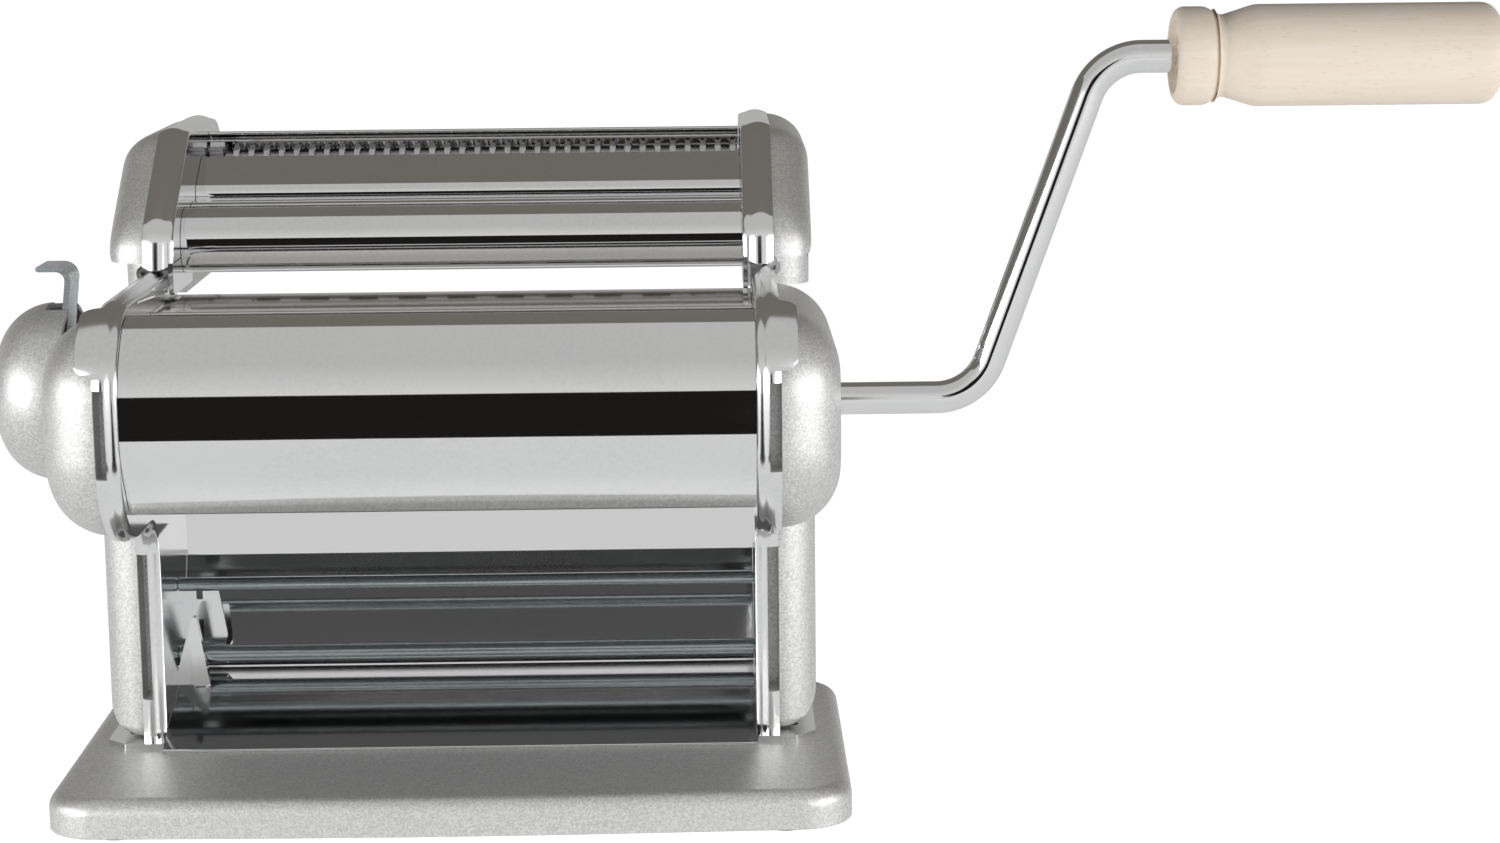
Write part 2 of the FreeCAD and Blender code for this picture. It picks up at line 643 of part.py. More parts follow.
# End covers nested in the rims, hollow from the inside, with two screw posts
rear_top = size("cap_top") - size("cap_drop")
cap_low = base_top + sheet_t + 0.2
cap_front = size("head_front") + size("cap_inset")
cap_leg_front = size("leg_front") + size("cap_inset")
cap_rear = size("leg_rear") - size("cap_inset")
cap_under = size("head_low") + size("cap_inset")
head_outline = [
    (cap_front, cap_under, 22.4), (cap_rear, cap_under, 10.0),
    (cap_rear, rear_top, 10.0), (cap_front, size("cap_top"), 20.0),
]
leg_outline = [
    (cap_leg_front, cap_low, 0.0), (cap_rear, cap_low, 0.0),
    (cap_rear, cap_under + 30.0, 0.0), (cap_leg_front, cap_under + 30.0, 0.0),
]
POST_RAD = 3.4
for side, word in ((-1, "left"), (1, "right")):
    shell = body_at(word + "_cover_shell")
    reverse = side < 0
    leg = pad(shell, sketch_on(shell, word + "_cover_leg", "YZ_Plane", web_out * side,
                               leg_outline), cap_leg - web_out, reverse)
    round_face(shell, leg, Vector(side, 0, 0), size("cap_round") - 2.0)
    head = pad(shell, sketch_on(shell, word + "_cover_head", "YZ_Plane", web_out * side,
                                head_outline), cap_head - web_out, reverse)
    round_face(shell, head, Vector(side, 0, 0), size("cap_round"))
    pocket(shell, sketch_on(shell, word + "_leg_hollow", "YZ_Plane", web_out * side,
                            inset(leg_outline, size("cap_wall"))),
           cap_leg - web_out - size("cap_wall"), side > 0)
    pocket(shell, sketch_on(shell, word + "_head_hollow", "YZ_Plane", web_out * side,
                            inset(head_outline, size("cap_wall"))),
           cap_head - web_out - size("cap_wall"), side > 0)
    posts = []
    for y, z, roof in cap_screws:
        low, high = mirrored_pair(web_out, roof, side)
        posts.append(cylinder_x("post", POST_RAD, low, high, y, z))
    joined = fuse(word + "_cover_joined", [shell] + posts)
    low, high = mirrored_pair(web_out - 1.0, web_out + screw_reach, side)
    tools = [cylinder_x("post_tap", size("screw_rad"), low, high, y, z)
             for y, z, roof in cap_screws]
    low, high = mirrored_pair(half + SLOT_IN, half + size("rim_wide"), side)
    for y_front, start, end in rim_slots:
        face_y = y_front + size("cap_inset")
        tools.append(box("slot_recess", (low, high), (face_y - 1.0, face_y + 2.0), (start, end)))
    low, high = mirrored_pair(web_out, cap_head + 1.0, side)
    if side > 0:
        tools.append(cylinder_x("crank_hole", size("journal") + 1.0, low, high, axis_y, axis_z))
    else:
        tools.append(cylinder_x("knob_hole", size("journal") + 0.5, low, high, knob_y, knob_z))
        for step in range(6):
            angle = 90.0 + size("dial_half").value * (2 * step / 5 - 1)
            y, z = on_ring(knob_y, knob_z, size("index_rad"), angle)
            tools.append(cylinder_x("index_hole", size("index_pin"), low, high, y, z))
        groove = size("index_pin") + 0.35
        reach = size("dial_half").value + 9.0
        tools.append(ring_sector("index_groove", (knob_y, knob_z), size("index_rad") + groove,
                                 groove * 2, 90.0 - reach, reach * 2, -cap_head - 1.0,
                                 -cap_head + 1.9))
    finish(cut(word + "_end_cover", joined, tools), word + "_end_cover")

cover_screws = []
for side in (-1, 1):
    for y, z, roof in cap_screws:
        low, high = mirrored_pair(half - size("screw_high"), half, side)
        head = cylinder_x("screw_cap", size("screw_head"), low, high, y, z)
        low, high = mirrored_pair(half - 0.5, web_out + screw_reach - 1.0, side)
        stem = cylinder_x("screw_stem", size("screw_rad"), low, high, y, z)
        cover_screws.append(fuse("cover_screw", [head, stem]))
finish(group("cover_screws", cover_screws), "cover_screws")

flange_screws = []
for side in (-1, 1):
    for y in flange_screw_y:
        head = cylinder_z("screw_cap", size("screw_head"), flange_x * side, y,
                          foot_seat - size("screw_high"), foot_seat)
        stem = cylinder_z("screw_stem", size("screw_rad"), flange_x * side, y,
                          foot_seat - 0.5, base_top + sheet_t)
        flange_screws.append(fuse("flange_screw", [head, stem]))
finish(group("base_screws", flange_screws), "base_screws")

# Front cover: a half-round nose with its upper edge turned in to the rollers
width_low = -half + seat
width_high = half - seat
nose_mid = size("nose_rad") - sheet_t / 2


NOSE_TOP = 122.0
NOSE_END = 245.0
nose_bend = ring_sector("front_cover", (axis_y, axis_z), size("nose_rad"), sheet_t,
                        NOSE_TOP, NOSE_END - NOSE_TOP, width_low, width_high)
nose_lip = bent_sheet("front_cover_lip", [
    on_ring(axis_y, axis_z, nose_mid, NOSE_TOP + 1.0),
    on_ring(axis_y, axis_z, nose_mid - 1.5, NOSE_TOP - 10.0) + (3.0,),
    on_ring(axis_y, axis_z, size("roll_rad") + 4.4, NOSE_TOP - 26.0)],
    sheet_t, width_low, width_high)
nose_hem = bent_sheet("front_cover_hem", [
    on_ring(axis_y, axis_z, nose_mid, NOSE_END - 1.0),
    on_ring(axis_y, axis_z, nose_mid - 0.6, NOSE_END + 3.0) + (1.5,),
    on_ring(axis_y, axis_z, nose_mid - 5.0, NOSE_END + 5.0)],
    sheet_t, width_low, width_high)
finish(fuse("front_cover", [nose_bend, nose_lip, nose_hem]), "front_cover")

# Rear cover: a feed table over the rear roller, turned down behind it
rear_line = size("leg_rear") - 1.6
table_z = rear_z + size("roll_rad") + 2.95
finish(bent_sheet("rear_cover", [
    (rear_y - 10.8, table_z, 0.0),
    (rear_line, table_z + 0.1, 7.0),
    (rear_line, cap_under - 2.6, 0.0)], sheet_t, width_low, width_high), "rear_cover")

# Chute: a concave sheet that turns the dough sheet to the front
CHUTE_BEND = 17.0
chute_low = base_top + size("thin_sheet") / 2 + 0.05
finish(bent_sheet("chute", [
    (-13.5, chute_low, 0.0),
    (CHUTE_BEND, chute_low + 0.9, 10.0),
    (rear_line - 1.6, base_top + 40.4, 0.0)], size("thin_sheet"), width_low, width_high), "chute")

# Scrapers under both rollers, cut away at the gears
roll_low = -half + 0.7
gear_high = half - 0.7
gear_low = gear_high - size("gear_wide")
roll_high = gear_low - 0.2
scrape = size("roll_rad") + 0.9
for word, y, z, way, spare, drop in (("front", axis_y, axis_z, 1, 0.0, 22.5),
                                     ("rear", rear_y, rear_z, -1, 1.2, 23.5)):
    edge = on_ring(y, z, scrape + spare, -90.0 + 35.0 * way)
    blade = bent_sheet(word + "_blade", [
        edge, (y + 4.0 * way, z - drop, 2.0), (y - 7.0 * way, z - drop, 0.0)],
        0.8, width_low, width_high)
    relief = box(word + "_relief", (roll_high - 0.4, half + 1.0), (y - 25.0, y + 25.0),
                 (z - drop + 1.4, z))
    finish(cut(word + "_scraper", blade, [relief]), word + "_scraper")

# Smooth rollers with their gears at the crank end
crank_socket = size("crank_rad") + run
crank_in = half - size("crank_reach")
socket_floor = crank_in - 1.5
drive_end = cap_head - 2.0
drive_body = turned("drive_roller_solid", [
    (-web_out - 3.5, 0.0), (drive_end, 0.0), (drive_end, size("journal")),
    (gear_high + 0.2, size("journal")), (gear_high + 0.2, size("gear_hub")),
    (roll_high, size("gear_hub")), (roll_high, size("roll_rad")),
    (roll_low, size("roll_rad")), (roll_low, size("journal")),
    (-web_out - 3.5, size("journal"))], 0.0, axis_y, axis_z)
pin_x = drive_end - 2.5
cross_slot = box("cross_slot", (pin_x - 1.7, drive_end + 1.0),
                 (axis_y - size("journal") - 1.0, axis_y + size("journal") + 1.0),
                 (axis_z - 1.6, axis_z + 1.6))
socket = cylinder_x("socket", crank_socket, socket_floor, drive_end + 1.0, axis_y, axis_z)
finish(cut("drive_roller", drive_body, [socket, cross_slot]), "drive_roller")

sleeve_out = size("core_rad") + run + 2.0
rear_bore = sleeve_out + run
finish(turned("rear_roller", [
    (roll_low, rear_bore), (gear_high + 0.2, rear_bore), (gear_high + 0.2, size("gear_hub")),
    (roll_high, size("gear_hub")), (roll_high, size("roll_rad")),
    (roll_low, size("roll_rad"))], 0.0, rear_y, rear_z), "rear_roller")


def gear(name, teeth, pitch, tip, root, share, ends, bore, place, phase):
    """A spur gear whose flanks are chords of the involute of its base circle."""
    base_rad = pitch * math.cos(math.radians(20.0))

    def involute(radius):
        ratio = base_rad / radius
        return math.tan(math.acos(ratio)) - math.acos(ratio)

    half_tooth = share * math.pi / teeth + involute(pitch)
    middle = (max(base_rad, root) + tip) / 2
    flank = [(root, half_tooth), (max(base_rad, root) + 0.01, half_tooth),
             (middle, half_tooth - involute(middle)), (tip, half_tooth - involute(tip))]
    points = []
    for tooth in range(teeth):
        centre = phase + 2 * math.pi * tooth / teeth
        for radius, angle in flank:
            points.append((radius, centre - angle))
        for radius, angle in reversed(flank):
            points.append((radius, centre + angle))
    corners = [Vector(ends[0], r * math.cos(a), r * math.sin(a)) for r, a in points]
    face = Part.Face(Part.makePolygon(corners + corners[:1]))
    blank = face.extrude(Vector(ends[1] - ends[0], 0, 0))
    hole = Part.makeCylinder(bore, ends[1] - ends[0], Vector(ends[0], 0, 0), Vector(1, 0, 0))
    wheel = doc.addObject("Part::Feature", name)
    wheel.Shape = blank.cut(hole)
    wheel.Placement = FreeCAD.Placement(Vector(0, place[0].value, place[1].value),
                                        FreeCAD.Rotation())
    return finish(wheel, name)


ROLL_TEETH = 16
nominal = (rear_y - axis_y).value / 2
module = 2 * nominal / ROLL_TEETH
tip_rad = nominal + 0.8 * module
root_rad = nominal - 1.75 * module
gear_span = (gear_low.value, gear_high.value)
gear("drive_gear", ROLL_TEETH, nominal, tip_rad, root_rad, 0.32, gear_span,
     size("gear_hub").value, (axis_y, axis_z), 0.0)
gear("driven_gear", ROLL_TEETH, nominal, tip_rad, root_rad, 0.32, gear_span,
     size("gear_hub").value, (rear_y, rear_z), math.pi / ROLL_TEETH)

# Bushes of both axes in both side plates
bushes = []
for y, z in ((axis_y, axis_z), (knob_y, knob_z)):
    for side in (-1, 1):
        low, high = mirrored_pair(half, web_out + 2.0, side)
        tube = cylinder_x("bush_tube", bush_rad, low, high, y, z)
        low, high = mirrored_pair(web_out, web_out + 1.8, side)
        ring = cylinder_x("bush_ring", size("bush_flange"), low, high, y, z)
        low, high = mirrored_pair(half - 1.0, web_out + 3.0, side)
        bore = cylinder_x("bush_bore", size("journal") + run, low, high, y, z)
        bushes.append(cut("bush", fuse("bush_solid", [tube, ring]), [bore]))
finish(group("roller_bushes", bushes), "roller_bushes")

# Eccentric axle of the rear roller, its floating sleeves and the thickness knob
knob_face = cap_head + size("knob_gap")
knob_out = knob_face + size("knob_high")
hub_seat = knob_face + 11.0
axle_core = cylinder_x("axle_core", size("core_rad"), -half - 0.2, half + 0.2, rear_y, rear_z)
axle_left = cylinder_x("axle_left", size("journal"), -hub_seat, -half + 0.3, knob_y, knob_z)
axle_right = cylinder_x("axle_right", size("journal"), half - 0.3, web_out + 4.0, knob_y, knob_z)
finish(fuse("eccentric_axle", [axle_core, axle_left, axle_right]), "eccentric_axle")
sleeves = []
for low, high in ((roll_low, roll_low + 22.0), (gear_high - 22.0, gear_high)):
    solid = cylinder_x("sleeve_solid", sleeve_out, low, high, rear_y, rear_z)
    bore = cylinder_x("sleeve_bore", size("core_rad") + run, low - 1.0, high + 1.0,
                      rear_y, rear_z)
    sleeves.append(cut("sleeve", solid, [bore]))
finish(group("roller_sleeves", sleeves), "roller_sleeves")

wall = size("knob_wall")
dome_round = size("knob_rad") - 8.5
dome = turned("knob_dome", [
    (-knob_out, 0.0), (-knob_out, size("knob_rad"), dome_round),
    (-knob_face, size("knob_rad")), (-knob_face, size("knob_rad") - wall),
    (wall - knob_out, size("knob_rad") - wall, dome_round - wall), (wall - knob_out, 0.0)][::-1],
    0.0, knob_y, knob_z)
hub = cylinder_x("knob_hub_solid", size("knob_hub"), wall - knob_out - 0.5,
                 -knob_face, knob_y, knob_z)
hub_bore = cylinder_x("knob_bore", size("journal"), -hub_seat, -knob_face + 1.0,
                      knob_y, knob_z)
latch_half = size("latch_wide") / 2
strip_mid = knob_face + 0.9 + size("latch_thick") / 2
notch = box("latch_notch",
            (-strip_mid - size("latch_thick") / 2 - size("latch_pull") - 0.5,
             -knob_face + 1.0),
            (knob_y - latch_half - 0.5, knob_y + latch_half + 0.5),
            (knob_z + size("knob_hub") + 3.0, knob_z + size("knob_rad") + 1.0))
finish(cut("thickness_knob", fuse("knob_solid", [dome, hub]), [hub_bore, notch]),
       "thickness_knob")

# Latch: a collar on the hub, a strip through the knob's slot and an index pin
collar_low = -strip_mid - size("latch_thick") / 2 - 3.0
collar_high = -strip_mid + size("latch_thick") / 2
strip = bent_sheet("latch_strip", [
    (-strip_mid, knob_z + size("knob_hub") + 1.2, 0.0),
    (-strip_mid, knob_z + size("latch_rise"), 3.0),
    (-strip_mid - size("latch_lip"), knob_z + size("latch_rise"), 0.0)],
    size("latch_thick"), knob_y - latch_half, knob_y + latch_half, PLANE_XZ)
collar = cylinder_x("collar_solid", size("knob_hub") + 2.6, collar_low, collar_high,
                    knob_y, knob_z)
pin = cylinder_x("index_stem", size("index_pin"), collar_high - 0.5,
                 -cap_head + 1.6, knob_y, knob_z + size("index_rad"))
collar_bore = cylinder_x("collar_bore", size("knob_hub") + run, collar_low - 1.0,
                         collar_high + 1.0, knob_y, knob_z)
finish(cut("latch_lever", fuse("latch_solid", [strip, collar, pin]), [collar_bore]),
       "latch_lever")

# Latch spring: one wound wire between the collar and the roof of the knob
WIRE = 0.45
SPRING_RAD = 10.4
spring_end = (wall - knob_out + 0.35).value
spring_start = (collar_low - 0.15).value
spring_long = spring_start - spring_end - 2 * WIRE
pitch = spring_long / 4.0
rest_gap = pitch - 2 * WIRE
pulled_gap = (spring_long - size("latch_pull").value) / 4.0 - 2 * WIRE
print("latch spring: gap %.2f mm at rest, %.2f mm when pulled" % (rest_gap, pulled_gap))
helix = Part.makeHelix(pitch, spring_long, SPRING_RAD)
wire_start = Part.Wire([Part.makeCircle(WIRE, Vector(SPRING_RAD, 0, 0), Vector(0, 1, 0))])
coil = Part.Wire(helix).makePipeShell([wire_start], True, True)
spring = doc.addObject("Part::Feature", "latch_spring")
spring.Shape = coil
spring.Placement = FreeCAD.Placement(
    Vector(spring_end + WIRE, knob_y.value, knob_z.value), ALONG_X)
finish(spring, "latch_spring")

# Crank: a bent rod with a cross pin, a spindle and a turned wooden grip
rod_body = body_at("crank_rod_body", 0.0, axis_y, 0.0)
path = rod_body.newObject("Sketcher::SketchObject", "crank_path")
plane = [item for item in rod_body.Origin.OriginFeatures if item.Role == "XZ_Plane"][0]
path.AttachmentSupport = [(plane, "")]
path.MapMode = "FlatFace"
crank_top = axis_z + size("crank_rise")
draw(path, [
    (crank_in, axis_z), (size("crank_low_x"), axis_z, size("crank_bend")),
    (size("crank_top_x"), crank_top, size("crank_bend")),
    (size("grip_start") - 0.6, crank_top)], closed=False)
ring = rod_body.newObject("Sketcher::SketchObject", "crank_section")
plane = [item for item in rod_body.Origin.OriginFeatures if item.Role == "YZ_Plane"][0]
ring.AttachmentSupport = [(plane, "")]
ring.MapMode = "FlatFace"
circle = ring.addGeometry(Part.Circle(Vector(0, axis_z.value, 0), Vector(0, 0, 1),
                                      size("crank_rad").value), False)
number = ring.addConstraint(Sketcher.Constraint("Radius", circle, size("crank_rad").value))
ring.setExpression("Constraints[%d]" % number, size("crank_rad").text)
pin_point(ring, circle, 3, Size.of(0.0), axis_z)
bind(ring, "AttachmentOffset.Base.z", crank_in)
sweep = rod_body.newObject("PartDesign::AdditivePipe", "crank_sweep")
sweep.Profile = ring
sweep.Spine = path
grip_end = size("grip_start") + size("grip_long")
RECESS = 3.0
spindle = cylinder_x("spindle", size("spindle"), size("grip_start") - 2.0,
                     grip_end - RECESS + 1.6, axis_y, crank_top)
pin_hole = cylinder_y("pin_hole", size("pin_rad"), pin_x, axis_z,
                      axis_y - size("crank_rad") - 1.0, axis_y + size("crank_rad") + 1.0)
finish(cut("crank_rod", fuse("crank_solid", [rod_body, spindle]), [pin_hole]), "crank_rod")
finish(cylinder_y("crank_pin", size("pin_rad"), pin_x, axis_z, axis_y - size("journal") + 0.3,
                  axis_y + size("journal") - 0.3), "crank_pin")

grip_bore = size("spindle") + run
finish(turned("crank_grip", [
    (0.0, grip_bore), (size("grip_long") - RECESS, grip_bore),
    (size("grip_long") - RECESS, 6.0), (size("grip_long"), 6.0),
    (size("grip_long"), size("grip_rad"), 4.4), (20.0, size("grip_rad"), 14.0),
    (11.6, size("grip_rad") - 3.6, 3.0), (9.4, size("grip_rad") - 3.6, 0.6),
    (9.0, size("grip_rad") - 0.4, 3.0), (0.0, size("grip_rad") - 0.4, 3.5)],
    size("grip_start"), axis_y, crank_top), "crank_grip")
washer_low = grip_end - RECESS + 0.1
washer = cylinder_x("washer_solid", 5.4, washer_low, washer_low + 1.0, axis_y, crank_top)
washer_bore = cylinder_x("washer_bore", size("spindle"), washer_low - 1.0, washer_low + 2.0,
                         axis_y, crank_top)
finish(cut("grip_washer", washer, [washer_bore]), "grip_washer")

# Cutter attachment: plates with an outward rim, a skirt and hooks around the rails
cutter_web = half - size("cutter_play")
cutter_in = cutter_web - sheet_t
cutter_cap = cutter_web + size("cutter_deep")
cutter_low = size("rail_z") + size("rail_gap")
belly_front = size("leg_rear") + 3.0
cutter_outline = [
    (size("cutter_front"), cutter_low, 0.0),
    (belly_front, cutter_low, 8.0),
    (belly_front + 10.0, size("cutter_belly"), 12.0),
    (belly_front + 37.0, size("cutter_belly"), 14.0),
    (size("cutter_rear"), cutter_low + 10.5, 10.0),
    (size("cutter_rear"), size("cutter_top"), 13.0),
    (size("cutter_front") + 34.0, size("cutter_top"), 9.0),
    (size("cutter_front") + 2.0, cutter_low + 11.0, 10.0),
]
broad_a = (size("broad_y"), size("broad_z"))
broad_b = (size("broad_y") + size("pair_gap"), size("broad_z"))
fine_run = math.sqrt(size("pair_gap").value ** 2 - size("pair_rise").value ** 2)
fine_a = (size("fine_y"), size("fine_z"))
fine_b = (size("fine_y") + fine_run, size("fine_z") + size("pair_rise"))
shafts = [broad_a, broad_b, fine_a, fine_b]
hook_front = 22.0
hook_rear = 36.0
tongue_low = table_z + 1.7
cutter_rods = [
    ("cutter_front_rod", 69.5, 134.0), ("cutter_rear_rod", 104.0, 152.0)]
for side, word in ((-1, "left"), (1, "right")):
    reverse = side < 0
    tray = body_at(word + "_cutter_tray")
    pad(tray, sketch_on(tray, word + "_cutter_outline", "YZ_Plane", cutter_in * side,
                        cutter_outline), size("cutter_rim"), reverse)
    pocket(tray, sketch_on(tray, word + "_cutter_hollow", "YZ_Plane", cutter_web * side,
                           inset(cutter_outline, sheet_t)), size("cutter_rim"), side > 0)
    pad(tray, sketch_on(tray, word + "_cutter_tongue", "YZ_Plane", cutter_in * side, [
        (size("cutter_front") + 0.5, tongue_low, 2.0),
        (belly_front + 9.0, tongue_low, 0.0),
        (belly_front + 9.0, cutter_low + 2.0, 0.0),
        (size("cutter_front") + 0.5, cutter_low + 2.0, 0.0)]), sheet_t, reverse)
    rail_edge = half + size("rim_wide")
    top_mid = cutter_low + sheet_t / 2
    low_mid = size("rail_z") - sheet_t - 0.3 - sheet_t / 2
    out_mid = rail_edge + 0.5 + sheet_t / 2
    hook = bent_sheet(word + "_hook", [
        ((cutter_in + sheet_t / 2) * side, top_mid, 0.0), (out_mid * side, top_mid, 1.2),
        (out_mid * side, low_mid, 1.2), ((rail_edge - 2.0) * side, low_mid, 0.0)],
        sheet_t, hook_front, hook_rear, PLANE_XZ)
    joined = fuse(word + "_cutter_joined", [tray, hook])
    low, high = mirrored_pair(cutter_in - 1.0, cutter_web + 1.0, side)
    tools = [cylinder_x("shaft_hole", size("stub_rad") + run, low, high, y, z)
             for y, z in shafts]
    for name, y, z in cutter_rods:
        tools.append(cylinder_x("rod_hole", size("screw_rad") + run, low, high, y, z))
    finish(cut(word + "_cutter_plate", joined, tools), word + "_cutter_plate")

for name, y, z in cutter_rods:
    bar = cylinder_x(name + "_bar", 2.2, -cutter_in, cutter_in, y, z)
    taps = [cylinder_x("tap", size("screw_rad"), -cutter_in - 1.0, -cutter_in + 9.0, y, z),
            cylinder_x("tap", size("screw_rad"), cutter_in - 9.0, cutter_in + 1.0, y, z)]
    finish(cut(name, bar, taps), name)
screws = []
for name, y, z in cutter_rods:
    for side in (-1, 1):
        low, high = mirrored_pair(cutter_web, cutter_web + size("screw_high"), side)
        head = cylinder_x("screw_cap", size("screw_head"), low, high, y, z)
        low, high = mirrored_pair(cutter_in - screw_reach, cutter_web + 0.5, side)
        stem = cylinder_x("screw_stem", size("screw_rad"), low, high, y, z)
        screws.append(fuse("cutter_screw", [head, stem]))
finish(group("cutter_rod_screws", screws), "cutter_rod_screws")

# Cutter end covers; the one at the crank side has a socket hole for each driven shaft
cutter_cap_outline = inset(cutter_outline, sheet_t + 0.3)
for side, word in ((-1, "left"), (1, "right")):
    shell = body_at(word + "_cutter_shell")
    solid = pad(shell, sketch_on(shell, word + "_cutter_cap", "YZ_Plane", cutter_web * side,
                                 cutter_cap_outline), cutter_cap - cutter_web, side < 0)
    round_face(shell, solid, Vector(side, 0, 0), size("cap_round") * 0.44)
    pocket(shell, sketch_on(shell, word + "_cutter_cap_hollow", "YZ_Plane", cutter_web * side,
                            inset(cutter_cap_outline, size("cap_wall"))),
           cutter_cap - cutter_web - size("cap_wall"), side > 0)
    cap = shell
    if side > 0:
        low, high = mirrored_pair(cutter_web, cutter_cap + 1.0, side)
        cap = cut(word + "_cutter_cap_cut", shell, [
            cylinder_x("drive_hole", size("socket_rad") + 1.2, low, high, y, z)
            for y, z in (broad_b, fine_b)])
    finish(cap, word + "_cutter_cover")

# Sheet shields over the cutting rollers
shield_low = -cutter_in + seat
shield_high = cutter_in - seat
shield = size("shield_rad")
for name, centre, radius, start, sweep in (
        ("cutter_front_shield", broad_a, shield, 80.0, 152.0),
        ("cutter_rear_shield", fine_b, shield + 1.5, -70.0, 162.0)):
    finish(ring_sector(name, centre, radius, size("thin_sheet"), start, sweep,
                       shield_low, shield_high), name)
middle_nose = ring_sector("middle_nose", fine_a, shield, size("thin_sheet"), 72.0, 128.0,
                          shield_low, shield_high)
roof_z = size("broad_z") + size("disc_rad") + 1.35
middle_roof = bent_sheet("middle_roof", [
    on_ring(fine_a[0], fine_a[1], shield - size("thin_sheet") / 2, 199.0),
    (broad_b[0], roof_z, 4.0),
    (broad_b[0] - 3.2, roof_z - 0.4)], size("thin_sheet"), shield_low, shield_high)
finish(fuse("cutter_middle_shield", [middle_nose, middle_roof]), "cutter_middle_shield")


gear_outer = -cutter_in + 0.5
gear_inner = gear_outer + size("cut_gear")
socket_end = cutter_cap - 2.0


DISC_SHARE = 0.42
core_start = gear_inner + 0.4
core_end = cutter_in - 0.5


def disc_centres(pitch, shift):
    """Middles of the discs of a cutting roller along X."""
    count = int((core_end - core_start).value // pitch.value)
    middle = (core_start + core_end) / 2
    return [middle + pitch * (step + 0.5 - count / 2 + shift) for step in range(count)]


def cutting_roller(name, centre, pitch, shift, driven):
    """A cutting roller: discs with grooves wider than the discs of the facing roller."""
    y, z = centre
    core = cylinder_x("core", size("disc_core"), core_start, core_end, y, z)
    stub_end = cutter_web + 3.0 if driven else cutter_web
    stub = cylinder_x("stub", size("stub_rad"), -cutter_web, stub_end, y, z)
    parts = [core, stub]
    disc = pitch * DISC_SHARE / 2
    for middle in disc_centres(pitch, shift):
        parts.append(cylinder_x("disc", size("disc_rad"), middle - disc, middle + disc, y, z))
    if not driven:
        return fuse(name, parts)
    hub = cylinder_x("socket_hub", size("socket_rad"), cutter_web + 0.8, socket_end, y, z)
    hole = cylinder_x("socket_bore", crank_socket, socket_end - 12.0, socket_end + 1.0, y, z)
    reach = size("socket_rad") + 1.0
    slot = box("socket_slot", (socket_end - 4.2, socket_end + 1.0), (y - reach, y + reach),
               (z - 1.6, z + 1.6))
    return cut(name, fuse(name + "_solid", parts + [hub]), [hole, slot])


CUTTERS = [
    ("wide_cutter_front", broad_a, "broad_pitch", -0.25),
    ("wide_cutter_rear", broad_b, "broad_pitch", 0.25),
    ("narrow_cutter_front", fine_a, "fine_pitch", -0.25),
    ("narrow_cutter_rear", fine_b, "fine_pitch", 0.25),
]
for name, centre, pitch, share in CUTTERS:
    finish(cutting_roller(name, centre, size(pitch), share, name.endswith("rear")), name)

# Combs that lift the strips out of the grooves
for name, centre, pitch, share in CUTTERS:
    y, z = centre
    way = -1 if name.endswith("rear") else 1
    near = y + 4.4 * way - size("comb_sheet") / 2
    across = (near, near + size("comb_sheet"))
    neck = z - size("disc_rad") + 0.5
    parts = [box("comb_spine", (-cutter_in + seat, cutter_in - seat), across, (neck - 1.4, neck))]
    groove = size(pitch) * (1.0 - DISC_SHARE)
    for centre_x in disc_centres(size(pitch), share)[:-1]:
        middle = centre_x + size(pitch) / 2
        reach = groove / 2 - 0.5
        parts.append(box("comb_finger", (middle - reach, middle + reach), across,
                         (neck - 0.5, z - size("disc_core") + 1.3)))
    label = name.replace("cutter", "comb")
    finish(fuse(label, parts), label)

# Gears of the cutting pairs at their left ends
pair = size("pair_gap").value
CUT_TEETH = 12
cut_module = pair / CUT_TEETH
cut_span = (gear_outer.value, gear_inner.value)
pair_angle = {"wide": 0.0, "narrow": math.atan2(size("pair_rise").value, fine_run)}
for name, centre, pitch, share in CUTTERS:
    family = name.split("_")[0]
    phase = pair_angle[family]
    if name.endswith("rear"):
        phase += math.pi / CUT_TEETH + math.pi
    gear(name.replace("cutter", "gear"), CUT_TEETH, pair / 2, pair / 2 + 0.9 * cut_module,
         pair / 2 - 1.25 * cut_module, 0.44, cut_span, size("stub_rad").value, centre, phase)

doc.recompute()
bad = [item.Name for item in doc.Objects if "Invalid" in item.State or "Error" in item.State]
if bad:
    raise RuntimeError("objects with errors: " + ", ".join(bad))
os.makedirs("parts", exist_ok=True)
for thing in nodes:
    shape = thing.Shape
    if shape.isNull() or not shape.isValid() or shape.Volume <= 0:
        raise RuntimeError("bad shape: " + thing.Label)
    shape.exportStep("parts/" + thing.Label + ".step")
print(len(nodes), "sub-parts written")
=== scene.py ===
"""Looks of a hand-cranked pasta roller with a double cutter hooked onto its rails."""
from __future__ import annotations

import json
import logging
import math
from dataclasses import dataclass
from enum import Enum

import bmesh
import bpy
import numpy as np
from mathutils import Matrix, Vector
from mathutils.geometry import tessellate_polygon

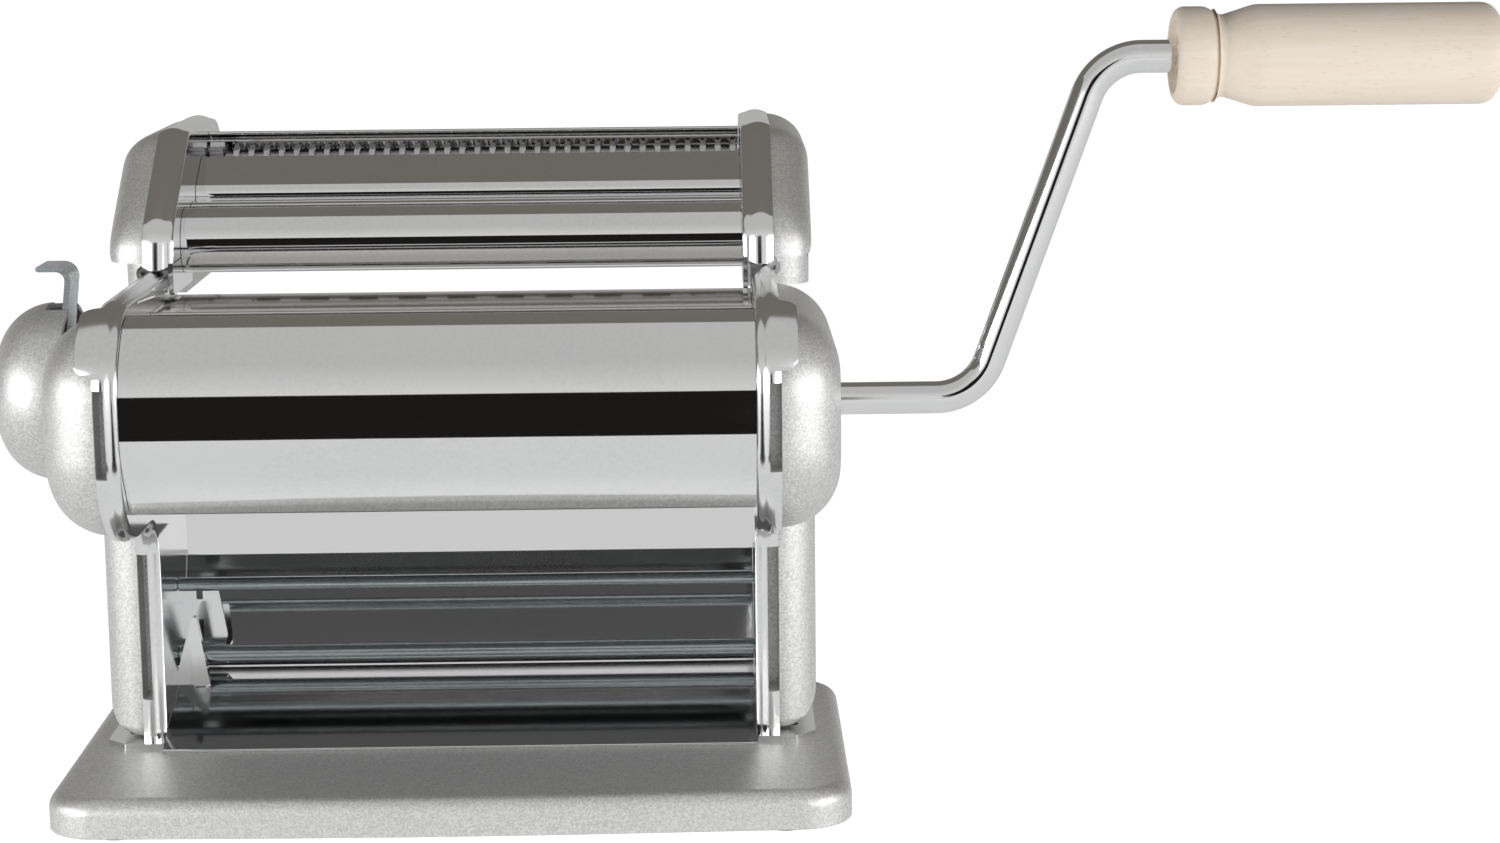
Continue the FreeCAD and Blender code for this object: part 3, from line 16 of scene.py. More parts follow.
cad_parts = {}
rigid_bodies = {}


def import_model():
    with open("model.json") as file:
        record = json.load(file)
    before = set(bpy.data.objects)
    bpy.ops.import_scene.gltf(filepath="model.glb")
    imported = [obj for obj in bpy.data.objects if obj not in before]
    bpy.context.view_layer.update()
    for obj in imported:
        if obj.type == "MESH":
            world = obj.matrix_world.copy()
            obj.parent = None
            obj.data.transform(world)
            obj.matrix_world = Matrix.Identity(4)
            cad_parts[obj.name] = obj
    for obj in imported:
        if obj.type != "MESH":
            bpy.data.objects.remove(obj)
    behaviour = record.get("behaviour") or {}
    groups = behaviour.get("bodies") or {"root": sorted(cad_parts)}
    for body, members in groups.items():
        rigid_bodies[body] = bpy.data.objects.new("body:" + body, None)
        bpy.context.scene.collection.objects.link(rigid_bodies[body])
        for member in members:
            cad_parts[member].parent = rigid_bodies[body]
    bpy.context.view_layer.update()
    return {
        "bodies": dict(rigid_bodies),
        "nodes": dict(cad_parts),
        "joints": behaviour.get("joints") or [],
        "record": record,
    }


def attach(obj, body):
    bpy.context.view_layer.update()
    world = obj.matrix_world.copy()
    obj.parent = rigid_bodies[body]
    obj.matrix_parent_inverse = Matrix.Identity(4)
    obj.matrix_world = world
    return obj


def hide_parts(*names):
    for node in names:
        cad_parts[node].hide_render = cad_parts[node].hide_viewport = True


Array = np.ndarray
LOG = logging.getLogger("pasta_roller")
MM = 0.001
FULL_TURN = 2 * math.pi
QUARTER_TURN = math.pi / 2
# Angle in degrees above which an edge stays sharp
SHARP = 35.0
# Smallest radii of an outline's corner and of a bend
LEAST_CORNER = 0.12
LEAST_BEND = 0.05
# Distances in metres at which points are merged and slivers are taken out
MERGE = 2e-6
SLIVER = 1e-7
# Depth in metres of the finest bumps
FINE_DEPTH = 0.0002
# Sockets of a colour mix: its factor and two colours, and its result
MIX_INPUTS = (0, 6, 7)
MIX_RESULT = 2

Colour = tuple[float, float, float, float]
Spot = tuple[float, float]
Point = tuple[float, float, float]


class Side(Enum):
    """The two ends of the machine along X."""

    LEFT = -1
    RIGHT = 1

    @property
    def word(self) -> str:
        """Name of the side as it stands in the node names."""
        return self.name.lower()


class Draw(Enum):
    """The direction in which a bent sheet is drawn out."""

    ALONG_X = "x"
    ALONG_Y = "y"


@dataclass(frozen=True)
class Layout:
    """Sizes in millimetres that several sub-assemblies share."""

    half: float = 75.75
    sheet: float = 1.2
    thin: float = 1.0
    web: float = 76.95
    base_top: float = 12.0
    axis_y: float = -26.0
    axis_z: float = 103.6
    knob_y: float = 8.2649
    knob_z: float = 102.3
    roll_rad: float = 16.5
    cutter_in: float = 73.8
    cutter_web: float = 75.0
    rim: float = 6.0
    slot_in: float = 3.1
    head_slot: Spot = (90.5, 112.0)
    leg_slot: Spot = (24.0, 62.0)


LAY = Layout()


# Outlines and sections

def unit(runs: Array) -> Array:
    """Rows of (u, v) brought to length 1."""
    return runs / np.linalg.norm(runs, axis=1)[:, None]


def left_of(runs: Array) -> Array:
    """Rows of (u, v) turned by 90 degrees to the left."""
    return np.stack([-runs[:, 1], runs[:, 0]], axis=1)


def cross(first: Array, second: Array) -> Array:
    """Cross product of two sets of rows (u, v)."""
    return first[:, 0] * second[:, 1] - first[:, 1] * second[:, 0]


def circle(count: int) -> Array:
    """Angles of a full circle in radians, without its end."""
    return np.linspace(0.0, FULL_TURN, count, endpoint=False)


def tangent_arcs(spots: Array, before: Array, after: Array, radii: Array, count: int) -> Array:
    """Arcs that round the corners of a line.

    A corner P between the unit runs a and b turns by the angle w. It becomes the arc from
    P - a r tan(w/2) to P + b r tan(w/2) on a circle of radius r.

    Args:
        spots: the corners (n, 2).
        before: unit runs that lead to the corners.
        after: unit runs that leave them.
        radii: radius of each arc.
        count: points on each arc.

    Returns:
        Points (n * count, 2) in the corners' order.
    """
    turn = np.arctan2(cross(before, after), (before * after).sum(axis=1))
    start = spots - before * (radii * np.tan(np.abs(turn) / 2))[:, None]
    left = left_of(before) * np.sign(turn)[:, None]
    centre = start + left * radii[:, None]
    first = np.arctan2(-left[:, 1], -left[:, 0])
    angle = first[:, None] + turn[:, None] * np.linspace(0.0, 1.0, count)
    ring = np.stack([np.cos(angle), np.sin(angle)], axis=-1)
    return (centre[:, None, :] + radii[:, None, None] * ring).reshape(-1, 2)


def rounded(corners: Array, per_corner: int = 14) -> Array:
    """Closed outline whose corners are tangent arcs.

    Args:
        corners: rows of (u, v, radius).
        per_corner: points on each arc.

    Returns:
        Points (n, 2) of the outline in the corners' order.
    """
    spots = corners[:, :2]
    before = unit(spots - np.roll(spots, 1, axis=0))
    radii = np.maximum(corners[:, 2], LEAST_CORNER)
    return tangent_arcs(spots, before, np.roll(before, -1, axis=0), radii, per_corner)


def inset(corners: Array, amount: float) -> Array:
    """Corners of a counter-clockwise outline moved inward along their mitres.

    The mitre of two left normals p and q is (p + q) / (1 + p.q); outer corners lose the amount
    from their radius, inner corners gain it.

    Args:
        corners: rows of (u, v, radius).
        amount: inward distance.

    Returns:
        Rows of (u, v, radius) of the inner outline.
    """
    spots = corners[:, :2]
    before = unit(spots - np.roll(spots, 1, axis=0))
    after = np.roll(before, -1, axis=0)
    normal_a, normal_b = left_of(before), left_of(after)
    mitre = (normal_a + normal_b) / (1.0 + (normal_a * normal_b).sum(axis=1))[:, None]
    radii = np.maximum(corners[:, 2] - amount * np.sign(cross(before, after)), LEAST_CORNER)
    return np.column_stack([spots + mitre * amount, radii])


def bent_line(points: Array, per_bend: int = 16) -> Array:
    """Open line through points (u, v, radius) with a tangent arc at every inner point.

    Args:
        points: rows of (u, v, radius); the radii of the two ends are not used.
        per_bend: points on each arc.

    Returns:
        Points (n, 2) of the line.
    """
    runs = unit(np.diff(points[:, :2], axis=0))
    radii = np.maximum(points[1:-1, 2], LEAST_BEND)
    arcs = tangent_arcs(points[1:-1, :2], runs[:-1], runs[1:], radii, per_bend)
    return np.vstack([points[:1, :2], arcs, points[-1:, :2]])


def on_ring(centre: Spot, radius: float, degrees: Array) -> Array:
    """Points at angles on a circle, counted from +Y towards +Z.

    Args:
        centre: (y, z) of the circle.
        radius: its radius.
        degrees: the angles.

    Returns:
        Points (n, 2).
    """
    angle = np.radians(np.atleast_1d(np.asarray(degrees, float)))
    return np.stack([centre[0] + radius * np.cos(angle), centre[1] + radius * np.sin(angle)], axis=1)


def sheet_section(line: Array, thickness: float, tip: int = 5) -> Array:
    """Closed section of a sheet: its middle line moved both ways, with half-round edges.

    Args:
        line: points (n, 2) of the middle line.
        thickness: sheet thickness.
        tip: points on each half-round edge.

    Returns:
        Points (m, 2) of the closed section.
    """
    run = unit(np.gradient(line, axis=0))
    normal = left_of(run)
    half = thickness / 2
    sweep = np.linspace(QUARTER_TURN, -QUARTER_TURN, tip + 2)[1:-1]
    ahead = np.cos(sweep)[:, None] * run[-1] + np.sin(sweep)[:, None] * normal[-1]
    behind = -np.cos(sweep)[:, None] * run[0] - np.sin(sweep)[:, None] * normal[0]
    return np.vstack([line + normal * half, line[-1] + ahead * half,
                      line[::-1] - normal[::-1] * half, line[0] + behind * half])


def linked(name: str, data: bpy.types.ID) -> bpy.types.Object:
    """Put some data into the scene.

    Args:
        name: object name.
        data: a mesh, camera or lamp.

    Returns:
        The linked object at the origin.
    """
    thing = bpy.data.objects.new(name, data)
    bpy.context.scene.collection.objects.link(thing)
    return thing


class Surface:
    """Grids and flat fills that together make one mesh; all points are in millimetres."""

    def __init__(self) -> None:
        """Start with no points."""
        self.points: list[Array] = []
        self.faces: list[tuple[int, ...]] = []
        self.count = 0

    def add(self, points: Array, faces: Array) -> None:
        """Take over points and faces.

        Args:
            points: points (n, 3).
            faces: point numbers (m, k), counted from the first of these points.
        """
        self.points.append(points)
        self.faces.extend(map(tuple, (faces + self.count).tolist()))
        self.count += len(points)

    def grid(self, net: Array, wrap_rows: bool = False, wrap_columns: bool = False) -> Surface:
        """Add a net of points as quads.

        Args:
            net: points (rows, columns, 3).
            wrap_rows: join the last row to the first.
            wrap_columns: join the last column to the first.

        Returns:
            This surface.
        """
        rows, columns = net.shape[:2]
        index = np.arange(rows * columns).reshape(rows, columns)
        if wrap_rows:
            index = np.vstack([index, index[:1]])
        if wrap_columns:
            index = np.hstack([index, index[:, :1]])
        quads = np.stack([index[:-1, :-1], index[:-1, 1:], index[1:, 1:], index[1:, :-1]], axis=-1)
        self.add(net.reshape(-1, 3), quads.reshape(-1, 4))
        return self

    def fill(self, *loops: Array) -> Surface:
        """Close a flat outline, with any further loops left open as holes.

        Args:
            loops: points (n, 3) of the outer loop and of each hole.

        Returns:
            This surface.
        """
        corners = tessellate_polygon([[Vector(p) for p in loop] for loop in loops])
        self.add(np.vstack(loops), np.array(corners, int))
        return self

    def mesh(self, name: str) -> bpy.types.Object:
        """Make the object: doubles merged, faces outward, smooth between its sharp edges.

        Args:
            name: object name.

        Returns:
            The linked object at the origin.
        """
        data = bpy.data.meshes.new(name)
        data.from_pydata((np.vstack(self.points) * MM).tolist(), [], self.faces)
        form = bmesh.new()
        form.from_mesh(data)
        bmesh.ops.remove_doubles(form, verts=form.verts, dist=MERGE)
        bmesh.ops.dissolve_degenerate(form, edges=form.edges, dist=SLIVER)
        bmesh.ops.recalc_face_normals(form, faces=form.faces)
        form.to_mesh(data)
        form.free()
        smooth(data)
        return linked(name, data)


def smooth(data: bpy.types.Mesh) -> None:
    """Shade a mesh smooth and keep its sharp edges."""
    data.polygons.foreach_set("use_smooth", np.ones(len(data.polygons), bool))
    data.set_sharp_from_angle(angle=math.radians(SHARP))


def turned_net(profile: Array, centre: Spot, around: int) -> Array:
    """Net of a turned form.

    Point (i, j) is (a_i, cu + r_i cos w_j, cv + r_i sin w_j) with w_j = 2 pi j / around.

    Args:
        profile: rows of (place along the axis, radius).
        centre: (u, v) of the axis.
        around: points on a circle.

    Returns:
        Points (n, around, 3) of (along, u, v).
    """
    angle = circle(around)
    along = np.repeat(profile[:, :1], around, axis=1)
    across = centre[0] + profile[:, 1:2] * np.cos(angle)
    upward = centre[1] + profile[:, 1:2] * np.sin(angle)
    return np.stack([along, across, upward], axis=-1)


def turned(surface: Surface, profile: Array, centre: Spot, around: int) -> Surface:
    """Add a form turned about an axis along X: profile rows are (x, radius), the centre is (y, z)."""
    return surface.grid(turned_net(profile, centre, around), wrap_columns=True)


def turned_z(surface: Surface, profile: Array, centre: Spot, around: int = 48) -> Surface:
    """Add a form turned about an upright axis: profile rows are (z, radius), the centre is (x, y)."""
    return surface.grid(turned_net(profile, centre, around)[..., [1, 2, 0]], wrap_columns=True)


def softened(profile: Array, radius: float = 0.3, per_bend: int = 4) -> Array:
    """Turned profile of rows (place, radius) with its inner corners rounded."""
    return bent_line(np.column_stack([profile, np.full(len(profile), radius)]), per_bend)


def drawn_out(surface: Surface, section: Array, stations: Array, way: Draw) -> Surface:
    """Add a section carried along a straight line, closed at both ends.

    Args:
        surface: the surface to add to.
        section: closed section (n, 2) of (y, z), or of (x, z) when drawn along Y.
        stations: places along the line.
        way: the direction.

    Returns:
        The same surface.
    """
    across = np.broadcast_to(section[None, :, :], (len(stations),) + section.shape)
    along = np.repeat(np.asarray(stations, float)[:, None], len(section), axis=1)
    order = [along, across[..., 0], across[..., 1]]
    if way is Draw.ALONG_Y:
        order = [across[..., 0], along, across[..., 1]]
    net = np.stack(order, axis=-1)
    surface.grid(net, wrap_columns=True)
    return surface.fill(net[0]).fill(net[-1])


def loops_at(corners: Array, insets: Array, levels: Array, per_corner: int = 14) -> Array:
    """Outlines stacked along X: row k is the outline moved in by insets[k] at x = levels[k].

    Args:
        corners: rows of (y, z, radius).
        insets: inward distances.
        levels: places along X.
        per_corner: points on each corner.

    Returns:
        Points (levels, n, 3).
    """
    stack = np.stack([rounded(inset(corners, amount), per_corner) for amount in insets])
    x = np.repeat(np.asarray(levels, float)[:, None], stack.shape[1], axis=1)
    return np.concatenate([x[..., None], stack], axis=-1)


def ring_loop(x: float, centre: Spot, radius: float, count: int = 48) -> Array:
    """A circle (count, 3) across X at a given place."""
    return turned_net(np.array([[x, radius]]), centre, count)[0]


def ordered(side: Side, near: float, far: float) -> Spot:
    """X of two distances from the middle, low end first."""
    low, high = sorted((side.value * near, side.value * far))
    return low, high


def block(x: Spot, y: Spot, z: Spot) -> bpy.types.Object:
    """A cutting block for recesses, from three (low, high) pairs."""
    outline = np.array([[y[0], z[0]], [y[1], z[0]], [y[1], z[1]], [y[0], z[1]]])
    return drawn_out(Surface(), outline, np.array(x), Draw.ALONG_X).mesh("cutting_block")


def carve(piece: bpy.types.Object, tools: list[bpy.types.Object]) -> bpy.types.Object:
    """Take the tools' volumes out of a piece and remove the tools.

    Args:
        piece: the piece to change.
        tools: closed meshes.

    Returns:
        The same piece with its new mesh.
    """
    for tool in tools:
        step = piece.modifiers.new("recess", "BOOLEAN")
        step.operation = "DIFFERENCE"
        step.solver = "EXACT"
        step.object = tool
    bpy.context.view_layer.update()
    graph = bpy.context.evaluated_depsgraph_get()
    data = bpy.data.meshes.new_from_object(piece.evaluated_get(graph))
    piece.modifiers.clear()
    piece.data = data
    data.name = piece.name
    smooth(data)
    for tool in tools:
        bpy.data.objects.remove(tool)
    return piece


def joined(name: str, things: list[bpy.types.Object]) -> bpy.types.Object:
    """Put several closed meshes into one piece and remove the single ones.

    Args:
        name: object name.
        things: the meshes.

    Returns:
        The linked object at the origin.
    """
    form = bmesh.new()
    for thing in things:
        form.from_mesh(thing.data)
        bpy.data.objects.remove(thing)
    data = bpy.data.meshes.new(name)
    form.to_mesh(data)
    form.free()
    smooth(data)
    return linked(name, data)


# Shader building

class Nodes:
    """A short way to place and link nodes in one tree."""

    def __init__(self, tree: bpy.types.NodeTree) -> None:
        """Work on an empty tree."""
        self.tree = tree
        tree.nodes.clear()

    def add(self, kind: str, **settings: object) -> bpy.types.Node:
        """Place a node.

        Args:
            kind: type name of the node.
            settings: its properties.

        Returns:
            The node.
        """
        node = self.tree.nodes.new(kind)
        for name, value in settings.items():
            setattr(node, name, value)
        return node

    def link(self, start: bpy.types.NodeSocket, end: bpy.types.NodeSocket) -> None:
        """Join two sockets."""
        self.tree.links.new(start, end)

    def put(self, socket: bpy.types.NodeSocket, value: object) -> None:
        """Give one input: a socket is linked, anything else is set as its value.

        Args:
            socket: the input.
            value: an output socket or a plain value.
        """
        if isinstance(value, bpy.types.NodeSocket):
            self.link(value, socket)
        else:
            socket.default_value = value

    def feed(self, node: bpy.types.Node, **inputs: object) -> bpy.types.Node:
        """Give inputs by name, with a low line for each space in the name.

        Args:
            node: the node.
            inputs: output sockets or plain values.

        Returns:
            The same node.
        """
        for name, value in inputs.items():
            self.put(node.inputs[name.replace("_", " ")], value)
        return node

    def math(self, operation: str, *values: object) -> bpy.types.NodeSocket:
        """Place a math node.

        Args:
            operation: Blender's name of the operation.
            values: its inputs, as sockets or numbers.

        Returns:
            Its output.
        """
        node = self.add("ShaderNodeMath", operation=operation)
        for socket, value in zip(node.inputs, values):
            self.put(socket, value)
        return node.outputs[0]

    def mix(self, factor: object, first: object, second: object) -> bpy.types.NodeSocket:
        """Place a colour mix.

        Args:
            factor: share of the second colour.
            first: colour at 0.
            second: colour at 1.

        Returns:
            Its output.
        """
        node = self.add("ShaderNodeMix", data_type="RGBA")
        for number, value in zip(MIX_INPUTS, (factor, first, second)):
            self.put(node.inputs[number], value)
        return node.outputs[MIX_RESULT]

    def ramp(self, factor: bpy.types.NodeSocket, low: float, high: float) -> bpy.types.NodeSocket:
        """Stretch the range low to high of a value to 0 to 1; returns the output."""
        node = self.feed(self.add("ShaderNodeMapRange"), Value=factor, From_Min=low, From_Max=high)
        return node.outputs[0]

    def noise(self, place: object, scale: object, **settings: object) -> bpy.types.NodeSocket:
        """Place a noise texture.

        Args:
            place: its coordinates.
            scale: its scale.
            settings: its further inputs.

        Returns:
            Its value.
        """
        node = self.feed(self.add("ShaderNodeTexNoise"), Vector=place, Scale=scale, **settings)
        return node.outputs["Fac"]

    def stretched(self, place: object, factors: object) -> bpy.types.NodeSocket:
        """Coordinates multiplied by three factors.

        Args:
            place: the coordinates.
            factors: a vector socket or three numbers.

        Returns:
            The stretched coordinates.
        """
        node = self.add("ShaderNodeVectorMath", operation="MULTIPLY")
        self.put(node.inputs[0], place)
        self.put(node.inputs[1], factors)
        return node.outputs[0]

    def bump(self, height: object, strength: float, distance: float,
             **settings: object) -> bpy.types.NodeSocket:
        """Place a bump.

        Args:
            height: the height's socket.
            strength: its strength.
            distance: its depth in metres.
            settings: its further inputs.

        Returns:
            The normal.
        """
        node = self.add("ShaderNodeBump")
        self.feed(node, Height=height, Strength=strength, Distance=distance, **settings)
        return node.outputs[0]


class Effects:
    """Node groups that several finishes share, each built once."""

    def __init__(self) -> None:
        """Build the groups."""
        self.waves = self._waves()
        self.smudge = self._smudge()
        self.sparkle = self._sparkle()
        self.brushed = self._brushed()

    @staticmethod
    def _group(name: str, inputs: dict[str, float],
               outputs: tuple[str, ...]) -> tuple[Nodes, bpy.types.Node, bpy.types.Node]:
        """Start a group with a Vector, further number inputs and number outputs.

        Args:
            name: name of the group.
            inputs: names and first values of the number inputs.
            outputs: names of the number outputs.

        Returns:
            The group's node builder, its input node and its output node.
        """
        tree = bpy.data.node_groups.new(name, "ShaderNodeTree")
        tree.interface.new_socket("Vector", in_out="INPUT", socket_type="NodeSocketVector")
        for label, value in inputs.items():
            socket = tree.interface.new_socket(label, in_out="INPUT", socket_type="NodeSocketFloat")
            socket.default_value = value
        for label in outputs:
            tree.interface.new_socket(label, in_out="OUTPUT", socket_type="NodeSocketFloat")
        build = Nodes(tree)
        return build, build.add("NodeGroupInput"), build.add("NodeGroupOutput")

    def _waves(self) -> bpy.types.NodeTree:
        """Slow waviness of pressed sheet: long, low swells along X.

        Returns:
            The group.
        """
        build, start, end = self._group("sheet_waves", {"Scale": 14.0, "Stretch": 0.35}, ("Height",))
        stretch = build.feed(build.add("ShaderNodeCombineXYZ"), X=start.outputs["Stretch"], Y=1.0, Z=1.0)
        place = build.stretched(start.outputs["Vector"], stretch.outputs[0])
        swell = build.noise(place, start.outputs["Scale"], Detail=1.5, Roughness=0.4)
        build.link(swell, end.inputs["Height"])
        return build.tree

    def _smudge(self) -> bpy.types.NodeTree:
        """Faint handling marks: broad clouds broken up by a finer noise.

        Returns:
            The group.
        """
        build, start, end = self._group("handling_marks", {"Scale": 22.0}, ("Mask",))
        place = start.outputs["Vector"]
        broad = build.noise(place, start.outputs["Scale"], Detail=4.0, Roughness=0.6)
        fine = build.noise(place, 900.0, Detail=2.0)
        build.link(build.ramp(build.math("MULTIPLY", broad, fine), 0.2, 0.42), end.inputs["Mask"])
        return build.tree

    def _sparkle(self) -> bpy.types.NodeTree:
        """Flakes of a sprayed metallic coat: tiny cells with their own tone and tilt.

        Returns:
            The group.
        """
        build, start, end = self._group("metal_flakes", {"Scale": 2600.0}, ("Flake", "Height"))
        place = start.outputs["Vector"]
        cells = build.feed(build.add("ShaderNodeTexVoronoi"), Vector=place, Scale=start.outputs["Scale"])
        split = build.add("ShaderNodeSeparateColor")
        build.link(cells.outputs["Color"], split.inputs[0])
        build.link(split.outputs[0], end.inputs["Flake"])
        grain = build.noise(place, 1500.0, Detail=2.0)
        build.link(build.math("ADD", grain, split.outputs[1]), end.inputs["Height"])
        return build.tree

    def _brushed(self) -> bpy.types.NodeTree:
        """Fine lines along X, as left by rolling and drawing.

        Returns:
            The group.
        """
        build, start, end = self._group("drawn_lines", {"Scale": 1800.0}, ("Line",))
        place = build.stretched(start.outputs["Vector"], (0.02, 1.0, 1.0))
        build.link(build.noise(place, start.outputs["Scale"], Detail=3.0), end.inputs["Line"])
        return build.tree


def start_material(name: str) -> tuple[bpy.types.Material, Nodes, bpy.types.Node, bpy.types.NodeSocket]:
    """Open a material with a Principled surface.

    Args:
        name: material name.

    Returns:
        The material, its node builder, the Principled node and the Object coordinates.
    """
    material = bpy.data.materials.new(name)
    material.use_nodes = True
    build = Nodes(material.node_tree)
    shader = build.add("ShaderNodeBsdfPrincipled")
    end = build.add("ShaderNodeOutputMaterial")
    build.link(shader.outputs[0], end.inputs["Surface"])
    place = build.add("ShaderNodeTexCoord")
    return material, build, shader, place.outputs["Object"]


def group_node(build: Nodes, tree: bpy.types.NodeTree, place: bpy.types.NodeSocket,
               **values: float) -> bpy.types.Node:
    """Place a shared effect in a material with its own values."""
    node = build.add("ShaderNodeGroup", node_tree=tree)
    return build.feed(node, Vector=place, **values)


@dataclass(frozen=True)
class Polished:
    """Bright plated sheet with slow waves, drawn lines and faint handling marks."""

    name: str
    tint: Colour = (0.86, 0.865, 0.87, 1.0)
    stain: Colour = (0.82, 0.825, 0.83, 1.0)
    rough: float = 0.03
    marks: float = 0.02
    wave: float = 0.03
    swell: float = 0.004
    line: float = 0.004

    def material(self, effects: Effects) -> bpy.types.Material:
        """Build the material.

        Args:
            effects: the shared effects.

        Returns:
            The material.
        """
        material, build, shader, place = start_material(self.name)
        marks = group_node(build, effects.smudge, place).outputs["Mask"]
        lines = group_node(build, effects.brushed, place).outputs["Line"]
        waves = group_node(build, effects.waves, place).outputs["Height"]
        build.feed(shader, Base_Color=build.mix(marks, self.tint, self.stain), Metallic=1.0)
        spread = build.math("MULTIPLY", marks, self.marks)
        build.feed(shader, Roughness=build.math("ADD", spread, self.rough))
        slow = build.bump(waves, self.wave, self.swell)
        build.feed(shader, Normal=build.bump(lines, self.line, FINE_DEPTH, Normal=slow))
        return material


@dataclass(frozen=True)
class Sprayed:
    """Satin silver coat with fine metal flakes."""

    name: str
    tint: Colour = (0.84, 0.84, 0.83, 1.0)
    deep: Colour = (0.60, 0.60, 0.59, 1.0)
    rough: float = 0.44
    metal: float = 0.78
    bump: float = 0.18
    cloud: float = 40.0
    marks: float = 0.05

    def material(self, effects: Effects) -> bpy.types.Material:
        """Build the material.

        Args:
            effects: the shared effects.

        Returns:
            The material.
        """
        material, build, shader, place = start_material(self.name)
        flakes = group_node(build, effects.sparkle, place)
        marks = group_node(build, effects.smudge, place, Scale=self.cloud).outputs["Mask"]
        tone = build.mix(flakes.outputs["Flake"], self.deep, self.tint)
        build.feed(shader, Base_Color=tone, Metallic=self.metal)
        spread = build.math("MULTIPLY", marks, self.marks)
        build.feed(shader, Roughness=build.math("ADD", spread, self.rough))
        build.feed(shader, Normal=build.bump(flakes.outputs["Height"], self.bump, FINE_DEPTH))
        return material


@dataclass(frozen=True)
class Plain:
    """Dull plated or ground metal with drawn lines and cloudy tone."""

    name: str
    tint: Colour
    deep: Colour
    rough: float = 0.32
    cloud: float = 60.0
    streak: float = 0.16
    line: float = 0.06

    def material(self, effects: Effects) -> bpy.types.Material:
        """Build the material.

        Args:
            effects: the shared effects.

        Returns:
            The material.
        """
        material, build, shader, place = start_material(self.name)
        marks = group_node(build, effects.smudge, place, Scale=self.cloud).outputs["Mask"]
        lines = group_node(build, effects.brushed, place).outputs["Line"]
        build.feed(shader, Base_Color=build.mix(marks, self.tint, self.deep), Metallic=1.0)
        spread = build.math("MULTIPLY", lines, self.streak)
        build.feed(shader, Roughness=build.math("ADD", spread, self.rough - self.streak / 2))
        build.feed(shader, Normal=build.bump(lines, self.line, FINE_DEPTH))
        return material


@dataclass(frozen=True)
class Beech:
    """Pale turned beech: growth bands along X, short dark flecks, a thin lacquer."""

    name: str
    light: Colour = (0.95, 0.85, 0.74, 1.0)
    dark: Colour = (0.90, 0.77, 0.63, 1.0)
    fleck: Colour = (0.72, 0.54, 0.40, 1.0)
    tilt: Point = (0.12, 0.05, 0.04)
    band_long: Point = (0.06, 1.0, 1.0)
    band: float = 330.0
    band_range: Spot = (0.30, 0.72)
    fleck_long: Point = (0.16, 1.0, 1.0)
    fleck_scale: float = 1500.0
    fleck_range: Spot = (0.22, 0.08)
    fleck_share: float = 0.45
    line: float = 1400.0
    streak: float = 0.2
    rough: float = 0.36
    bump: float = 0.12

    def material(self, effects: Effects) -> bpy.types.Material:
        """Build the material.

        Args:
            effects: the shared effects.

        Returns:
            The material.
        """
        material, build, shader, place = start_material(self.name)
        along = build.feed(build.add("ShaderNodeMapping"), Vector=place, Rotation=self.tilt,
                           Scale=self.band_long)
        bands = build.noise(along.outputs[0], self.band, Detail=5.0, Roughness=0.6, Distortion=0.6)
        grain = build.mix(build.ramp(bands, *self.band_range), self.light, self.dark)
        short = build.feed(build.add("ShaderNodeMapping"), Vector=place, Scale=self.fleck_long)
        cells = build.feed(build.add("ShaderNodeTexVoronoi"), Vector=short.outputs[0],
                           Scale=self.fleck_scale)
        spots = build.ramp(cells.outputs["Distance"], *self.fleck_range)
        spots = build.math("MULTIPLY", spots, self.fleck_share)
        build.feed(shader, Base_Color=build.mix(spots, grain, self.fleck))
        lines = group_node(build, effects.brushed, place, Scale=self.line).outputs["Line"]
        spread = build.math("MULTIPLY", lines, self.streak)
        build.feed(shader, Roughness=build.math("ADD", spread, self.rough))
        build.feed(shader, Normal=build.bump(bands, self.bump, 2 * FINE_DEPTH))
        return material


@dataclass(frozen=True)
class Rubber:
    """Matt black rubber with a fine pebble."""

    name: str
    tint: Colour = (0.018, 0.018, 0.019, 1.0)
    dust: Colour = (0.05, 0.05, 0.05, 1.0)
    cloud: float = 80.0
    rough: float = 0.62
    marks: float = 0.15
    pebble: float = 1600.0
    bump: float = 0.2

    def material(self, effects: Effects) -> bpy.types.Material:
        """Build the material.

        Args:
            effects: the shared effects.

        Returns:
            The material.
        """
        material, build, shader, place = start_material(self.name)
        marks = group_node(build, effects.smudge, place, Scale=self.cloud).outputs["Mask"]
        build.feed(shader, Base_Color=build.mix(marks, self.tint, self.dust))
        spread = build.math("MULTIPLY", marks, self.marks)
        build.feed(shader, Roughness=build.math("ADD", spread, self.rough))
        pebble = build.noise(place, self.pebble, Detail=2.0)
        build.feed(shader, Normal=build.bump(pebble, self.bump, FINE_DEPTH))
        return material


